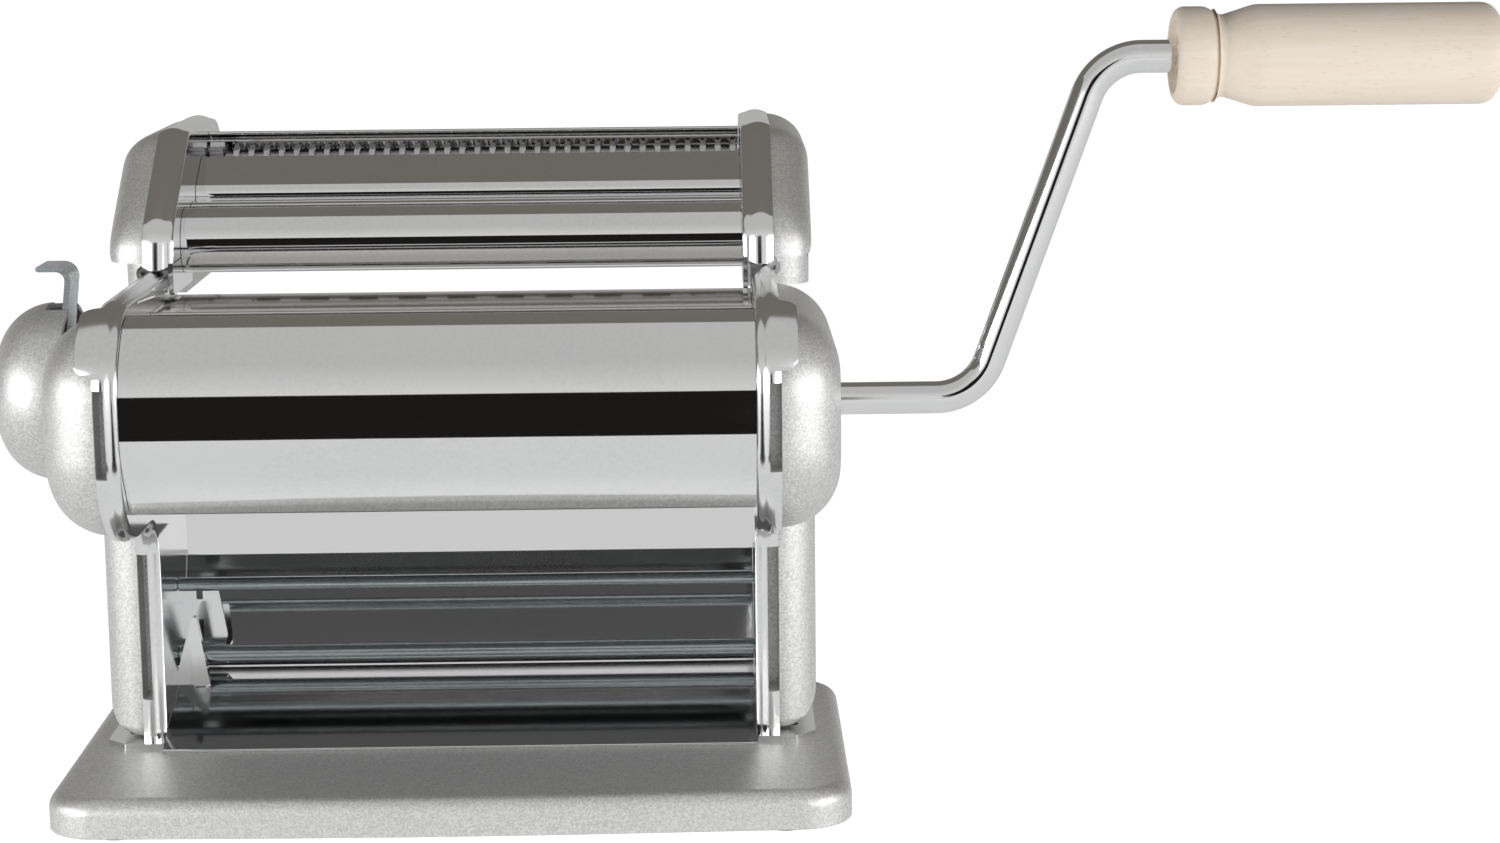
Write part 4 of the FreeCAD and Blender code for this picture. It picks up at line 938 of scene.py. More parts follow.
class Finish(Enum):
    """Every finish of the machine."""

    SATIN = Sprayed("satin_silver")
    CHROME = Polished("polished_plate")
    PLATE = Polished("polished_side_plate", rough=0.15, wave=0.02)
    TABLE = Polished("polished_table", (0.70, 0.69, 0.665, 1.0), (0.66, 0.65, 0.625, 1.0),
                     rough=0.13, wave=0.02)
    TRAY = Polished("polished_cutter_plate", rough=0.12, wave=0.02)
    CHUTE = Polished("polished_chute", rough=0.08, wave=0.02)
    ROD = Polished("plated_rod", rough=0.07, wave=0.02)
    ZINC = Plain("zinc_plate", (0.54, 0.59, 0.60, 1.0), (0.46, 0.51, 0.52, 1.0), 0.26)
    STEEL = Plain("ground_steel", (0.62, 0.62, 0.63, 1.0), (0.50, 0.50, 0.51, 1.0), 0.24)
    BRONZE = Plain("plain_bronze", (0.30, 0.25, 0.18, 1.0), (0.22, 0.18, 0.13, 1.0), 0.38)
    WOOD = Beech("turned_beech")
    RUBBER = Rubber("black_rubber")

    @property
    def slot(self) -> str:
        """Slot of the record: every polished sheet is chrome, the others have their own."""
        return "chrome" if isinstance(self.value, Polished) else self.name.lower()


class Dresser:
    """Gives pieces their finish, their body and the node they stand for."""

    def __init__(self, frame: dict) -> None:
        """Build all finishes once.

        Args:
            frame: what the frame's loader returned.
        """
        effects = Effects()
        self.materials = {finish: finish.value.material(effects) for finish in Finish}
        self.nodes = frame["nodes"]

    def piece(self, thing: bpy.types.Object, finish: Finish, body: str, *nodes: str) -> None:
        """Dress a new piece.

        Args:
            thing: the piece.
            finish: its finish.
            body: the body that it rides on.
            nodes: the nodes that it stands for.
        """
        thing.data.materials.clear()
        thing.data.materials.append(self.materials[finish])
        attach(thing, body)
        if nodes:
            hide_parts(*nodes)
        LOG.info("piece %s: %d faces on %s", thing.name, len(thing.data.polygons), body)

    def node(self, finish: Finish, *names: str) -> None:
        """Give nodes of the frame that stay visible their finish.

        Args:
            finish: the finish.
            names: the nodes.
        """
        for name in names:
            slots = self.nodes[name].material_slots
            if not len(slots):
                self.nodes[name].data.materials.append(self.materials[finish])
            for slot in slots:
                slot.material = self.materials[finish]


# Sub-assemblies

@dataclass
class Base:
    """Pressed tray with bowed long sides, on four rubber feet."""

    half_long: float = 98.5
    half_deep: float = 55.0
    bow: float = 3.0
    low: float = 2.5
    top: float = 12.0
    corner: float = 13.0
    edge: float = 4.0
    wall: float = 1.5
    bow_round: float = 1800.0
    lip: float = 0.3
    skirt: float = 6.5
    clamp_slot: tuple[Spot, Spot, Spot] = ((-9.0, 9.0), (47.0, 60.0), (4.3, 9.1))
    foot: Point = (82.0, 42.0, 6.5)

    def outline(self) -> Array:
        """Corners of the tray, with a very large bend in the middle of each long side.

        Returns:
            Rows of (x, y, radius).
        """
        long, deep, bow = self.half_long, self.half_deep, self.half_deep + self.bow
        corner, large = self.corner, self.bow_round
        return np.array([[-long, -deep, corner], [0, -bow, large], [long, -deep, corner],
                         [long, deep, corner], [0, bow, large], [-long, deep, corner]], float)

    def tray(self) -> bpy.types.Object:
        """Outlines stacked upward: skirt, quarter-round edge of radius e, flat top.

        With w from 0 to 90 degrees the edge is moved in by e (1 - cos w) and lies at top - e (1 - sin w).

        Returns:
            The tray.
        """
        turn = np.linspace(0.0, QUARTER_TURN, 14)
        wall, lip, low = self.wall, self.lip, self.low
        insets = np.concatenate([[wall, wall, wall - lip, lip, 0.0, 0.0], self.edge * (1 - np.cos(turn)),
                                 [self.edge + lip]])
        levels = np.concatenate([[self.top - wall, low + lip, low, low, low + lip, self.skirt],
                                 self.top - self.edge * (1 - np.sin(turn)), [self.top]])
        stack = loops_at(self.outline(), insets, levels, 20)[..., [1, 2, 0]]
        surface = Surface().grid(stack, wrap_columns=True).fill(stack[0]).fill(stack[-1])
        return carve(surface.mesh("base_tray"), [block(*self.clamp_slot)])

    def feet(self) -> bpy.types.Object:
        """Four turned pads with a rounded tread.

        Returns:
            The pads as one piece.
        """
        x, y, radius = self.foot
        under = self.top - self.wall
        corners = np.array([[0, 0, 0], [0, radius, 0.8], [under, radius, 0.4], [under, 0, 0]], float)
        profile = bent_line(corners, 6)
        surface = Surface()
        for place in ((-x, -y), (-x, y), (x, -y), (x, y)):
            turned_z(surface, profile, place)
        return surface.mesh("foot_pads")

    def build(self, dress: Dresser) -> None:
        """Build and dress the base."""
        dress.piece(self.tray(), Finish.SATIN, "frame", "base_plate")
        dress.piece(self.feet(), Finish.RUBBER, "frame", "rubber_feet")


@dataclass
class Tray:
    """A flanged plate: a web across X whose edge is bent outward to a rim."""

    corners: Array
    web_in: float
    rim: float
    sheet: float = 1.2
    bend: float = 1.7
    crown: float = 0.8
    margin: float = 0.3

    def surface(self, side: Side, holes: list[Array]) -> Surface:
        """Carry the rim's section along the outline and close the web on both sides.

        The section runs from the web's inner face around a bend of radius b, along the rim, around its
        edge and back inside; its depth is the inset and its length is X. The rim's outside is crowned:
        at the share t of its width it lies deeper by c (2 t - 1)^2.

        Args:
            side: the end of the machine.
            holes: closed loops (n, 2) of (y, z) that go through the web.

        Returns:
            The closed surface.
        """
        turn = np.linspace(0.0, QUARTER_TURN, 8)
        back = turn[::-1]
        tip = np.linspace(0.0, math.pi, 7)
        share = np.linspace(0.0, 1.0, 9)[1:-1]
        web, sheet, crown, outer = self.web_in, self.sheet, self.crown, self.bend
        inner = outer - sheet
        edge = web + self.rim
        thin = (sheet - crown) / 2
        insets = np.concatenate([[outer + self.margin], crown + (outer - crown) * (1 - np.sin(turn)),
                                 crown * (2 * share - 1) ** 2, crown + thin * (1 - np.cos(tip)),
                                 sheet + inner * (1 - np.sin(back)), [outer + self.margin]])
        levels = np.concatenate([[web], web + outer * (1 - np.cos(turn)),
                                 web + outer + (edge - thin - web - outer) * share,
                                 edge - thin + thin * np.sin(tip),
                                 web + sheet + inner * (1 - np.cos(back)), [web + sheet]])
        stack = loops_at(self.corners, insets, levels * side.value, 16)
        surface = Surface().grid(stack, wrap_columns=True)
        walls = []
        for number in (0, -1):
            x = stack[number, 0, 0]
            loops = [np.column_stack([np.full(len(hole), x), hole]) for hole in holes]
            surface.fill(stack[number], *loops)
            walls.append(loops)
        for near, far in zip(*walls):
            surface.grid(np.stack([near, far]), wrap_columns=True)
        return surface


@dataclass
class SidePlates:
    """Polished side plates with rim, rail window, rim slots and foot flange."""

    flange: float = 91.0
    flange_y: Spot = (-9.0, 40.0)
    chamfer: float = 5.0
    head_cut: Spot = (-54.5, -51.3)
    leg_cut: Spot = (-7.0, -3.8)
    tab: float = 10.0
    brow_centre: Spot = (-31.5, 109.0)
    brow_round: float = 22.0
    brow_angles: Spot = (108.0, 165.0)
    brow_fade: float = 9.0
    brow_root: float = 4.0
    brow_lap: float = 1.0
    brow_edge: float = 0.4
    lug_web_y: Spot = (14.0, 15.2)
    lug_strip_y: Spot = (12.8, 14.0)
    slit_tab_y: Spot = (22.2, 23.4)

    @property
    def corners(self) -> Array:
        """Corners (y, z, radius) of a side plate."""
        return np.array([[-53.5, 71, 24], [-6, 71, 9], [-6, 12, 0], [39, 12, 0], [39, 131, 4],
                         [-53.5, 131, 22]], float)

    @staticmethod
    def window() -> Array:
        """Wedge under the rail, clockwise in (y, z)."""
        return rounded(np.array([[-20, 128.4, 0.2], [23.5, 125.4, 1.0], [23.5, 129.0, 1.0],
                                 [-20, 129.0, 0.2]], float), 6)

    def plate(self, side: Side) -> bpy.types.Object:
        """One side plate.

        Args:
            side: the end of the machine.

        Returns:
            The plate.
        """
        surface = Tray(self.corners, LAY.half, LAY.rim).surface(side, [self.window()])
        low, high = self.flange_y
        near, far, cut = LAY.half, self.flange, self.chamfer
        outline = np.array([[near, low, 0.2], [far - cut, low, 0.6], [far, low + cut, 0.6],
                            [far, high - cut, 0.6], [far - cut, high, 0.6], [near, high, 0.2]], float)
        ring = rounded(outline, 5) * np.array([side.value, 1.0])
        levels = (LAY.base_top, LAY.base_top + LAY.sheet)
        stack = np.stack([np.column_stack([ring, np.full(len(ring), z)]) for z in levels])
        surface.grid(stack, wrap_columns=True).fill(stack[0]).fill(stack[1])
        across = ordered(side, LAY.half + LAY.slot_in, LAY.half + LAY.rim + 1.0)
        tools = [block(across, self.head_cut, LAY.head_slot), block(across, self.leg_cut, LAY.leg_slot)]
        parts = [carve(surface.mesh("plate_tray"), tools), self.brow(side)]
        if side is Side.LEFT:
            parts.append(self.lugs(side))
        return joined(side.word + "_plate", parts)

    def brow(self, side: Side) -> bpy.types.Object:
        """The wider rim at the upper front: the rim's arc drawn out with a rounded corner.

        At the angle w the sheet ends between the rim's edge and the tab's by the share s(w), which falls
        as a quarter ellipse near both ends of the arc; the angles crowd towards both ends as a cosine.

        Args:
            side: the end of the machine.

        Returns:
            The brow.
        """
        count = 72
        first, last = self.brow_angles
        angle = (first + last) / 2 - (last - first) / 2 * np.cos(np.linspace(0.0, math.pi, count))
        near = np.minimum(angle - first, last - angle) / self.brow_fade
        reach = np.sqrt(1.0 - (1.0 - np.clip(near, 0.0, 1.0)) ** 2)
        edge = LAY.half + LAY.rim - self.brow_lap + (self.tab - LAY.rim + self.brow_lap) * reach
        outer = on_ring(self.brow_centre, self.brow_round, angle)
        inner = on_ring(self.brow_centre, self.brow_round - LAY.sheet, angle)
        root = np.full(count, LAY.half + self.brow_root)
        wall = edge - self.brow_edge
        rows = [(outer, root), (outer, wall), (outer * 0.85 + inner * 0.15, edge),
                (outer * 0.15 + inner * 0.85, edge), (inner, wall), (inner, root)]
        net = np.stack([np.column_stack([x * side.value, ring]) for ring, x in rows])
        return Surface().grid(net, wrap_rows=True).fill(net[:, 0]).fill(net[:, -1]).mesh("plate_brow")

    def lugs(self, side: Side) -> bpy.types.Object:
        """The lug in front of the lower rod and the slit tab behind it.

        Outlines are (distance inward from the plate, height above the base, radius).

        Args:
            side: the end of the machine.

        Returns:
            Both as one mesh.
        """
        web = np.array([[-0.6, 10.5, 0.2], [8.6, 10.5, 1.0], [5.6, 29.0, 0.6], [4.1, 29.0, 0.4],
                        [-0.6, 12.0, 0.2]])
        strip = np.array([[4.3, 10.5, 0.4], [8.6, 10.5, 1.2], [5.6, 29.0, 0.7], [4.1, 29.0, 0.5]])
        tab = np.array([[-0.6, 18.7, 0.2], [4.3, 18.7, 0.2], [4.3, 26.3, 0.2], [6.0, 26.3, 0.2],
                        [6.0, 18.7, 0.2], [11.2, 18.7, 0.4], [12.2, 22.0, 3.0], [11.4, 27.0, 4.0],
                        [10.2, 34.2, 0.5], [6.0, 34.2, 0.2], [6.0, 31.7, 0.2], [4.3, 31.7, 0.2],
                        [4.3, 34.2, 0.2], [-0.6, 34.2, 0.2]])
        surface = Surface()
        for corners, stations, per_corner in ((web, self.lug_web_y, 8), (strip, self.lug_strip_y, 8),
                                              (tab, self.slit_tab_y, 5)):
            ring = rounded(corners, per_corner)
            section = np.column_stack([(LAY.half - ring[:, 0]) * side.value, LAY.base_top + ring[:, 1]])
            drawn_out(surface, section, np.array(stations), Draw.ALONG_Y)
        return surface.mesh("plate_lugs")

    def build(self, dress: Dresser) -> None:
        """Build and dress both plates.

        Args:
            dress: the dresser.
        """
        for side in Side:
            dress.piece(self.plate(side), Finish.PLATE, "frame", side.word + "_side_plate")


# Straight wall below a cover's bend, flat rim of its face and depth of its holes
WALL_STEP = 0.5
FACE_STEP = 0.25
HOLE_DEEP = 2.6


def pillow(surface: Surface, corners: Array, levels: Spot, edge: float, side: Side,
           holes: list[tuple[Spot, float]], per_corner: int = 18) -> Surface:
    """Add a cover: straight wall, quarter-round edge of radius e and a flat face with round holes.

    With w from 0 to 90 degrees the edge is moved in by e (1 - cos w) at x = top - e (1 - sin w).

    Args:
        surface: the surface to add to.
        corners: rows of (y, z, radius).
        levels: inner and outer X of the cover, as distances from the middle.
        edge: radius of the rounded edge.
        side: the end of the machine.
        holes: (centre, radius) of each hole.
        per_corner: points on each corner.

    Returns:
        The same surface.
    """
    low, top = levels
    turn = np.linspace(0.0, QUARTER_TURN, 16)
    insets = np.concatenate([[0.0, 0.0], edge * (1 - np.cos(turn)), [edge + FACE_STEP]])
    places = np.concatenate([[low, top - edge - WALL_STEP], top - edge * (1 - np.sin(turn)), [top]])
    stack = loops_at(corners, insets, places * side.value, per_corner)
    rims = [ring_loop(top * side.value, centre, radius) for centre, radius in holes]
    surface.grid(stack, wrap_columns=True).fill(stack[0]).fill(stack[-1], *rims)
    for rim, (centre, radius) in zip(rims, holes):
        floor = ring_loop((top - HOLE_DEEP) * side.value, centre, radius)
        surface.grid(np.stack([rim, floor]), wrap_columns=True).fill(floor)
    return surface


def soft_pillow(surface: Surface, corners: Array, levels: Spot, edge: float, side: Side,
                power: float, draw: float = 0.8, count: int = 160) -> Surface:
    """Add a cover with a soft outline: the sides of a convex outline, blended at its corners.

    Seen from the middle, side i has the outward normal n_i at the distance h_i. In the direction u the
    outline moved in by d lies at r = (sum_i (max(u.n_i, 0) / (h_i - d))^p)^(-1/p). The wall bends over
    to the face in a quarter ellipse that is e deep along X and moves in by a share of e.

    Args:
        surface: the surface to add to.
        corners: rows of (y, z) of a convex outline.
        levels: inner and outer X of the cover, as distances from the middle.
        edge: e, the depth of the bent-over edge.
        side: the end of the machine.
        power: p, the sharpness of the corners.
        draw: share of the edge by which the face is smaller than the wall.
        count: points on an outline.

    Returns:
        The same surface.
    """
    middle = corners.mean(axis=0)
    normal = -left_of(unit(np.roll(corners, -1, axis=0) - corners))
    reach = ((corners - middle) * normal).sum(axis=1)
    angle = circle(count)
    way = np.stack([np.cos(angle), np.sin(angle)], axis=1)
    facing = np.clip(way @ normal.T, 0.0, None)
    turn = np.linspace(0.0, QUARTER_TURN, 18)
    low, top = levels
    insets = np.concatenate([[0.0, 0.0], draw * edge * (1 - np.cos(turn))])
    places = np.concatenate([[low, top - edge - WALL_STEP], top - edge * (1 - np.sin(turn))])
    shares = facing[None, :, :] / (reach[None, None, :] - insets[:, None, None])
    radius = (shares ** power).sum(axis=2) ** (-1.0 / power)
    ring = middle + radius[..., None] * way
    stack = np.concatenate([np.repeat(places[:, None, None] * side.value, count, axis=1), ring], axis=-1)
    return surface.grid(stack, wrap_columns=True).fill(stack[0]).fill(stack[-1])


@dataclass
class EndCovers:
    """Satin covers nested in the rims of the side plates."""

    head_top: float = 96.5
    leg_top: float = 91.5
    head_edge: float = 15.0
    leg_edge: float = 10.0
    head_recess: Spot = (-52.9, -44.0)
    leg_recess: Spot = (-5.4, 4.0)
    crank_hole: float = 7.0

    @property
    def head(self) -> Array:
        """Corners (y, z, radius) of the head."""
        return np.array([[-51.9, 72.6, 22.4], [37.4, 72.6, 16], [37.4, 125.7, 16],
                         [-51.9, 127.2, 20]], float)

    @property
    def leg(self) -> Array:
        """Corners (y, z, radius) of the leg."""
        return np.array([[-4.4, 13.4, 3], [37.4, 13.4, 3], [37.4, 104, 3], [-4.4, 104, 3]], float)

    def build(self, dress: Dresser) -> None:
        """Build and dress both covers.

        Args:
            dress: the dresser.
        """
        for side in Side:
            holes = [((LAY.axis_y, LAY.axis_z), self.crank_hole)] if side is Side.RIGHT else []
            across = ordered(side, LAY.half + LAY.slot_in, LAY.half + LAY.rim)
            head = pillow(Surface(), self.head, (LAY.web, self.head_top), self.head_edge, side, holes)
            leg = pillow(Surface(), self.leg, (LAY.web, self.leg_top), self.leg_edge, side, [])
            parts = [carve(head.mesh("cover_head"), [block(across, self.head_recess, LAY.head_slot)]),
                     carve(leg.mesh("cover_leg"), [block(across, self.leg_recess, LAY.leg_slot)])]
            cover = joined(side.word + "_cover", parts)
            dress.piece(cover, Finish.SATIN, "frame", side.word + "_end_cover")


@dataclass
class RollerHead:
    """Nose cover, feed table, chute, rods and the smooth rollers."""

    nose: float = 26.4
    nose_start: float = 122.0
    nose_end: float = 214.0
    nose_low: float = 80.4
    lip_gap: float = 4.4
    lip_back: Spot = (26.0, 9.0)
    side_gap: float = 0.1
    side_edge: float = 0.4
    journal: float = 6.0
    gear_seat: float = 9.0
    crank_bore: float = 4.05
    left_end: float = -80.4
    socket_x: Spot = (88.0, 94.5)
    roll_gap: float = 0.7
    gear_room: float = 5.9
    seat_gap: float = 0.5
    sleeve_gap: float = 0.1
    rod_edge: float = 0.4

    @property
    def bars(self) -> dict[str, Point]:
        """Place (y, z) and radius of each tie rod."""
        return {"lower_tie_rod": (18.0, 30.0, 2.3), "middle_tie_rod": (20.0, 48.3, 1.8),
                "rear_tie_rod": (31.2, 100.0, 2.3), "front_tie_rod": (-40.1, 86.8, 2.3)}

    @property
    def table_line(self) -> Array:
        """Middle line of the feed table, turned down at the rear."""
        return bent_line(np.array([[-2.535, 123.05, 0], [37.4, 123.15, 7.0], [37.4, 66.0, 0]], float), 24)

    @property
    def chute_line(self) -> Array:
        """Middle line of the chute: a ramp to the front and a leaning panel behind it."""
        return bent_line(np.array([[-13.5, 12.55, 0], [24.6, 25.8, 7.0], [35.8, 52.4, 0]], float), 48)

    def nose_line(self) -> Array:
        """Middle line of the nose: lip, round about the drive axis, straight lower lip and hem.

        Returns:
            Points (n, 2) of (y, z).
        """
        centre = (LAY.axis_y, LAY.axis_z)
        far, near = (self.nose_start - back for back in self.lip_back)
        lip = np.vstack([on_ring(centre, LAY.roll_rad + self.lip_gap, far),
                         on_ring(centre, self.nose - LAY.sheet, near)])
        arc = on_ring(centre, self.nose, np.linspace(self.nose_start, self.nose_end, 90))
        end = math.radians(self.nose_end)
        way = np.array([-math.sin(end), math.cos(end)])
        low = arc[-1] + (self.nose_low - arc[-1, 1]) / math.cos(end) * way
        hem = np.vstack([low, low + (1.4, 0.2), low + (3.2, 4.0)])
        lip_line = bent_line(np.column_stack([np.vstack([lip, arc[:1]]), [0, 2.5, 0]]), 8)
        hem_line = bent_line(np.column_stack([np.vstack([arc[-1:], hem]), [0, 0.7, 0.6, 0]]), 8)
        return np.vstack([lip_line[:-1], arc, hem_line[1:]])

    def sheet(self, name: str, line: Array, thickness: float, finish: Finish, dress: Dresser,
              node: str) -> None:
        """Draw a bent sheet out between the side plates and dress it.

        Args:
            name: piece name.
            line: middle line (n, 2) of (y, z).
            thickness: sheet thickness.
            finish: finish of the sheet.
            dress: the dresser.
            node: the node it stands for.
        """
        width, edge = LAY.half - self.side_gap, self.side_edge
        stations = np.array([-width, -width + edge, width - edge, width])
        surface = drawn_out(Surface(), sheet_section(line, thickness), stations, Draw.ALONG_X)
        dress.piece(surface.mesh(name), finish, "frame", node)

    def rollers(self, dress: Dresser) -> None:
        """Turn the two smooth rollers.

        Args:
            dress: the dresser.
        """
        low, high = -LAY.half + self.roll_gap, LAY.half - self.gear_room
        first, seat_end, (floor, mouth) = self.left_end, LAY.half - self.seat_gap, self.socket_x
        journal, seat, bore, barrel = self.journal, self.gear_seat, self.crank_bore, LAY.roll_rad
        sleeve = journal + self.sleeve_gap
        drive = np.array([[first, 0], [first, journal], [low, journal], [low, barrel], [high, barrel],
                          [high, seat], [seat_end, seat], [seat_end, journal], [mouth, journal],
                          [mouth, bore], [floor, bore], [floor, 0]], float)
        surface = turned(Surface(), softened(drive), (LAY.axis_y, LAY.axis_z), 128)
        dress.piece(surface.mesh("drive_roll"), Finish.STEEL, "drive", "drive_roller")
        rear = np.array([[low, sleeve], [low, barrel], [high, barrel], [high, seat], [seat_end, seat],
                         [seat_end, sleeve], [low, sleeve]], float)
        surface = turned(Surface(), softened(rear), (LAY.knob_y, LAY.axis_z), 128)
        dress.piece(surface.mesh("rear_roll"), Finish.STEEL, "rear_roll", "rear_roller")

    def rods(self, dress: Dresser) -> None:
        """Turn the tie rods with slightly chamfered ends.

        Args:
            dress: the dresser.
        """
        half, cut = LAY.half, self.rod_edge
        for name, (y, z, radius) in self.bars.items():
            profile = np.array([[-half, 0], [-half, radius - cut], [-half + cut, radius],
                                [half - cut, radius], [half, radius - cut], [half, 0]], float)
            surface = turned(Surface(), profile, (y, z), 48)
            dress.piece(surface.mesh(name.replace("tie_rod", "bar")), Finish.ZINC, "frame", name)

    def build(self, dress: Dresser) -> None:
        """Build and dress the head and the opening below it.

        Args:
            dress: the dresser.
        """
        self.sheet("nose_cover", self.nose_line(), LAY.sheet, Finish.CHROME, dress, "front_cover")
        self.sheet("feed_table", self.table_line, LAY.sheet, Finish.TABLE, dress, "rear_cover")
        self.sheet("dough_chute", self.chute_line, LAY.thin, Finish.CHUTE, dress, "chute")
        self.rollers(dress)
        self.rods(dress)
        dress.node(Finish.STEEL, "front_scraper", "rear_scraper", "drive_gear", "driven_gear",
                   "eccentric_axle")
        dress.node(Finish.BRONZE, "roller_bushes", "roller_sleeves")
        dress.node(Finish.ZINC, "tie_rod_screws", "cover_screws", "base_screws")


@dataclass
class ThicknessDial:
    """Domed dial with its pull latch and spring."""

    radius: float = 22.7
    face: float = 97.3
    high: float = 19.0
    wall: float = 1.5
    flat: float = 8.5
    hub: float = 9.0
    bore: float = 6.0
    bore_deep: float = 11.0
    slot_x: Spot = (-103.2, -96.3)
    slot_z: Spot = (12.0, 23.7)
    slot_half: float = 6.5
    strip: float = 1.5
    strip_gap: float = 0.9
    strip_half: float = 6.0
    rise: float = 32.0
    lean: float = 2.0
    lip: float = 5.6
    collar: tuple[Spot, Spot] = ((-102.7, -98.2), (9.05, 11.6))
    pin_ring: float = 13.2

    def dome(self) -> bpy.types.Object:
        """Turn the hollow dome with its hub and cut the latch's slot.

        Returns:
            The dome.
        """
        face, top, bend = self.face, self.face + self.high, self.radius - self.flat
        inner = self.radius - self.wall
        profile = np.array([[-top, 0, 0], [-top, self.radius, bend], [-face, self.radius, 0.5],
                            [-face, inner, 0.4], [self.wall - top, inner, bend - self.wall],
                            [self.wall - top, self.hub, 0.5], [-face, self.hub, 0.4],
                            [-face, self.bore, 0.3], [-face - self.bore_deep, self.bore, 0.3],
                            [-face - self.bore_deep, 0, 0]], float)
        y, z = LAY.knob_y, LAY.knob_z
        dome = turned(Surface(), bent_line(profile, 24), (y, z), 128).mesh("dial_dome")
        slot = block(self.slot_x, (y - self.slot_half, y + self.slot_half),
                     (z + self.slot_z[0], z + self.slot_z[1]))
        return carve(dome, [slot])

    def latch(self) -> bpy.types.Object:
        """Bend the latch strip and turn its collar and pin.

        Returns:
            The latch.
        """
        middle = self.face + self.strip_gap + self.strip / 2
        y, z = LAY.knob_y, LAY.knob_z
        line = bent_line(np.array([[-middle, z + 10.2, 0], [-middle, z + 15, 6.0],
                                   [self.lean - middle, z + self.rise, 3.0],
                                   [-middle - self.lip, z + self.rise, 0]], float))
        surface = Surface()
        wide, edge = self.strip_half, self.strip_half - 0.3
        stations = np.array([y - wide, y - edge, y + edge, y + wide])
        drawn_out(surface, sheet_section(line, self.strip), stations, Draw.ALONG_Y)
        (low, high), (inner, outer) = self.collar
        collar = np.array([[low, inner], [low, outer], [high, outer], [high, inner], [low, inner]])
        turned(surface, softened(collar), (y, z), 64)
        pin = np.array([[-98.7, 0], [-98.7, 1.3], [-97.1, 1.3], [-96.8, 1.0], [-96.8, 0]], float)
        turned(surface, pin, (y, z + self.pin_ring), 24)
        return surface.mesh("latch_strip")

    def build(self, dress: Dresser) -> None:
        """Build and dress the dial.

        Args:
            dress: the dresser.
        """
        dress.piece(self.dome(), Finish.SATIN, "dial", "thickness_knob")
        dress.piece(self.latch(), Finish.ZINC, "latch", "latch_lever")
        dress.node(Finish.STEEL, "latch_spring")


@dataclass
class Crank:
    """Bent rod with cross pin and a turned grip."""

    inner: float = 70.5
    low_x: float = 130.2
    top_x: float = 160.2
    rise: float = 83.0
    bend: float = 14.0
    radius: float = 4.0
    grip_start: float = 177.6
    grip_long: float = 78.6
    grip_gap: float = 0.6
    spindle: float = 3.0
    chamfers: Spot = (0.5, 0.4)

    @property
    def top_z(self) -> float:
        """Height of the grip's axis."""
        return LAY.axis_z + self.rise

    def rod(self) -> bpy.types.Object:
        """Carry a circle along the bent line in the plane Y = axis.

        With the normal n of the line in that plane, point (i, j) is p_i + r_i (cos w_j n_i + sin w_j Y);
        the radius r is smaller at both chamfered ends.

        Returns:
            The rod with its spindle.
        """
        line = bent_line(np.array([[self.inner, LAY.axis_z, 0], [self.low_x, LAY.axis_z, self.bend],
                                   [self.top_x, self.top_z, self.bend],
                                   [self.grip_start - self.grip_gap, self.top_z, 0]], float), 32)
        run = unit(np.gradient(line, axis=0))
        radii = np.full(len(line), self.radius)
        first, last = self.chamfers
        line = np.vstack([line[:1], line[:1] + run[:1] * first, line[1:-1],
                          line[-1:] - run[-1:] * last, line[-1:]])
        run = np.vstack([run[:1], run, run[-1:]])
        radii = np.concatenate([[self.radius - first], radii, [self.radius - last]])
        normal = left_of(run)
        angle = circle(56)
        reach = radii[:, None] * np.cos(angle)
        net = np.stack([line[:, :1] + normal[:, :1] * reach, LAY.axis_y + radii[:, None] * np.sin(angle),
                        line[:, 1:] + normal[:, 1:] * reach], axis=-1)
        surface = Surface().grid(net, wrap_columns=True).fill(net[0]).fill(net[-1])
        start, end, thick = self.grip_start - 2, self.grip_start + self.grip_long, self.spindle
        spindle = np.array([[start, 0], [start, thick], [end - 1.8, thick], [end - 1.4, thick - 0.5],
                            [end - 1.4, 0]], float)
        turned(surface, spindle, (LAY.axis_y, self.top_z), 40)
        return surface.mesh("bent_rod")

    def grip(self) -> bpy.types.Object:
        """Turn the grip: dished end, bead, neck, flare and a long barrel with a recessed end.

        Returns:
            The grip.
        """
        long = self.grip_long
        profile = np.array([[1.8, 3.05, 0.3], [1.8, 8.4, 0.6], [0, 8.9, 0.6], [0, 11.9, 2.6],
                            [9.6, 11.9, 4.4], [10.4, 9.4, 2.0], [19.5, 12.3, 9.0], [long, 12.3, 4.4],
                            [long, 6.0, 0.6], [long - 3, 6.0, 0.4], [long - 3, 3.05, 0.3],
                            [1.8, 3.05, 0.3]], float)
        line = bent_line(profile, 14) + np.array([self.grip_start, 0.0])
        return turned(Surface(), line, (LAY.axis_y, self.top_z), 112).mesh("turned_grip")

    def build(self, dress: Dresser) -> None:
        """Build and dress the crank.

        Args:
            dress: the dresser.
        """
        dress.piece(self.rod(), Finish.ROD, "crank", "crank_rod")
        dress.piece(self.grip(), Finish.WOOD, "grip", "crank_grip")
        dress.node(Finish.ZINC, "crank_pin", "grip_washer")


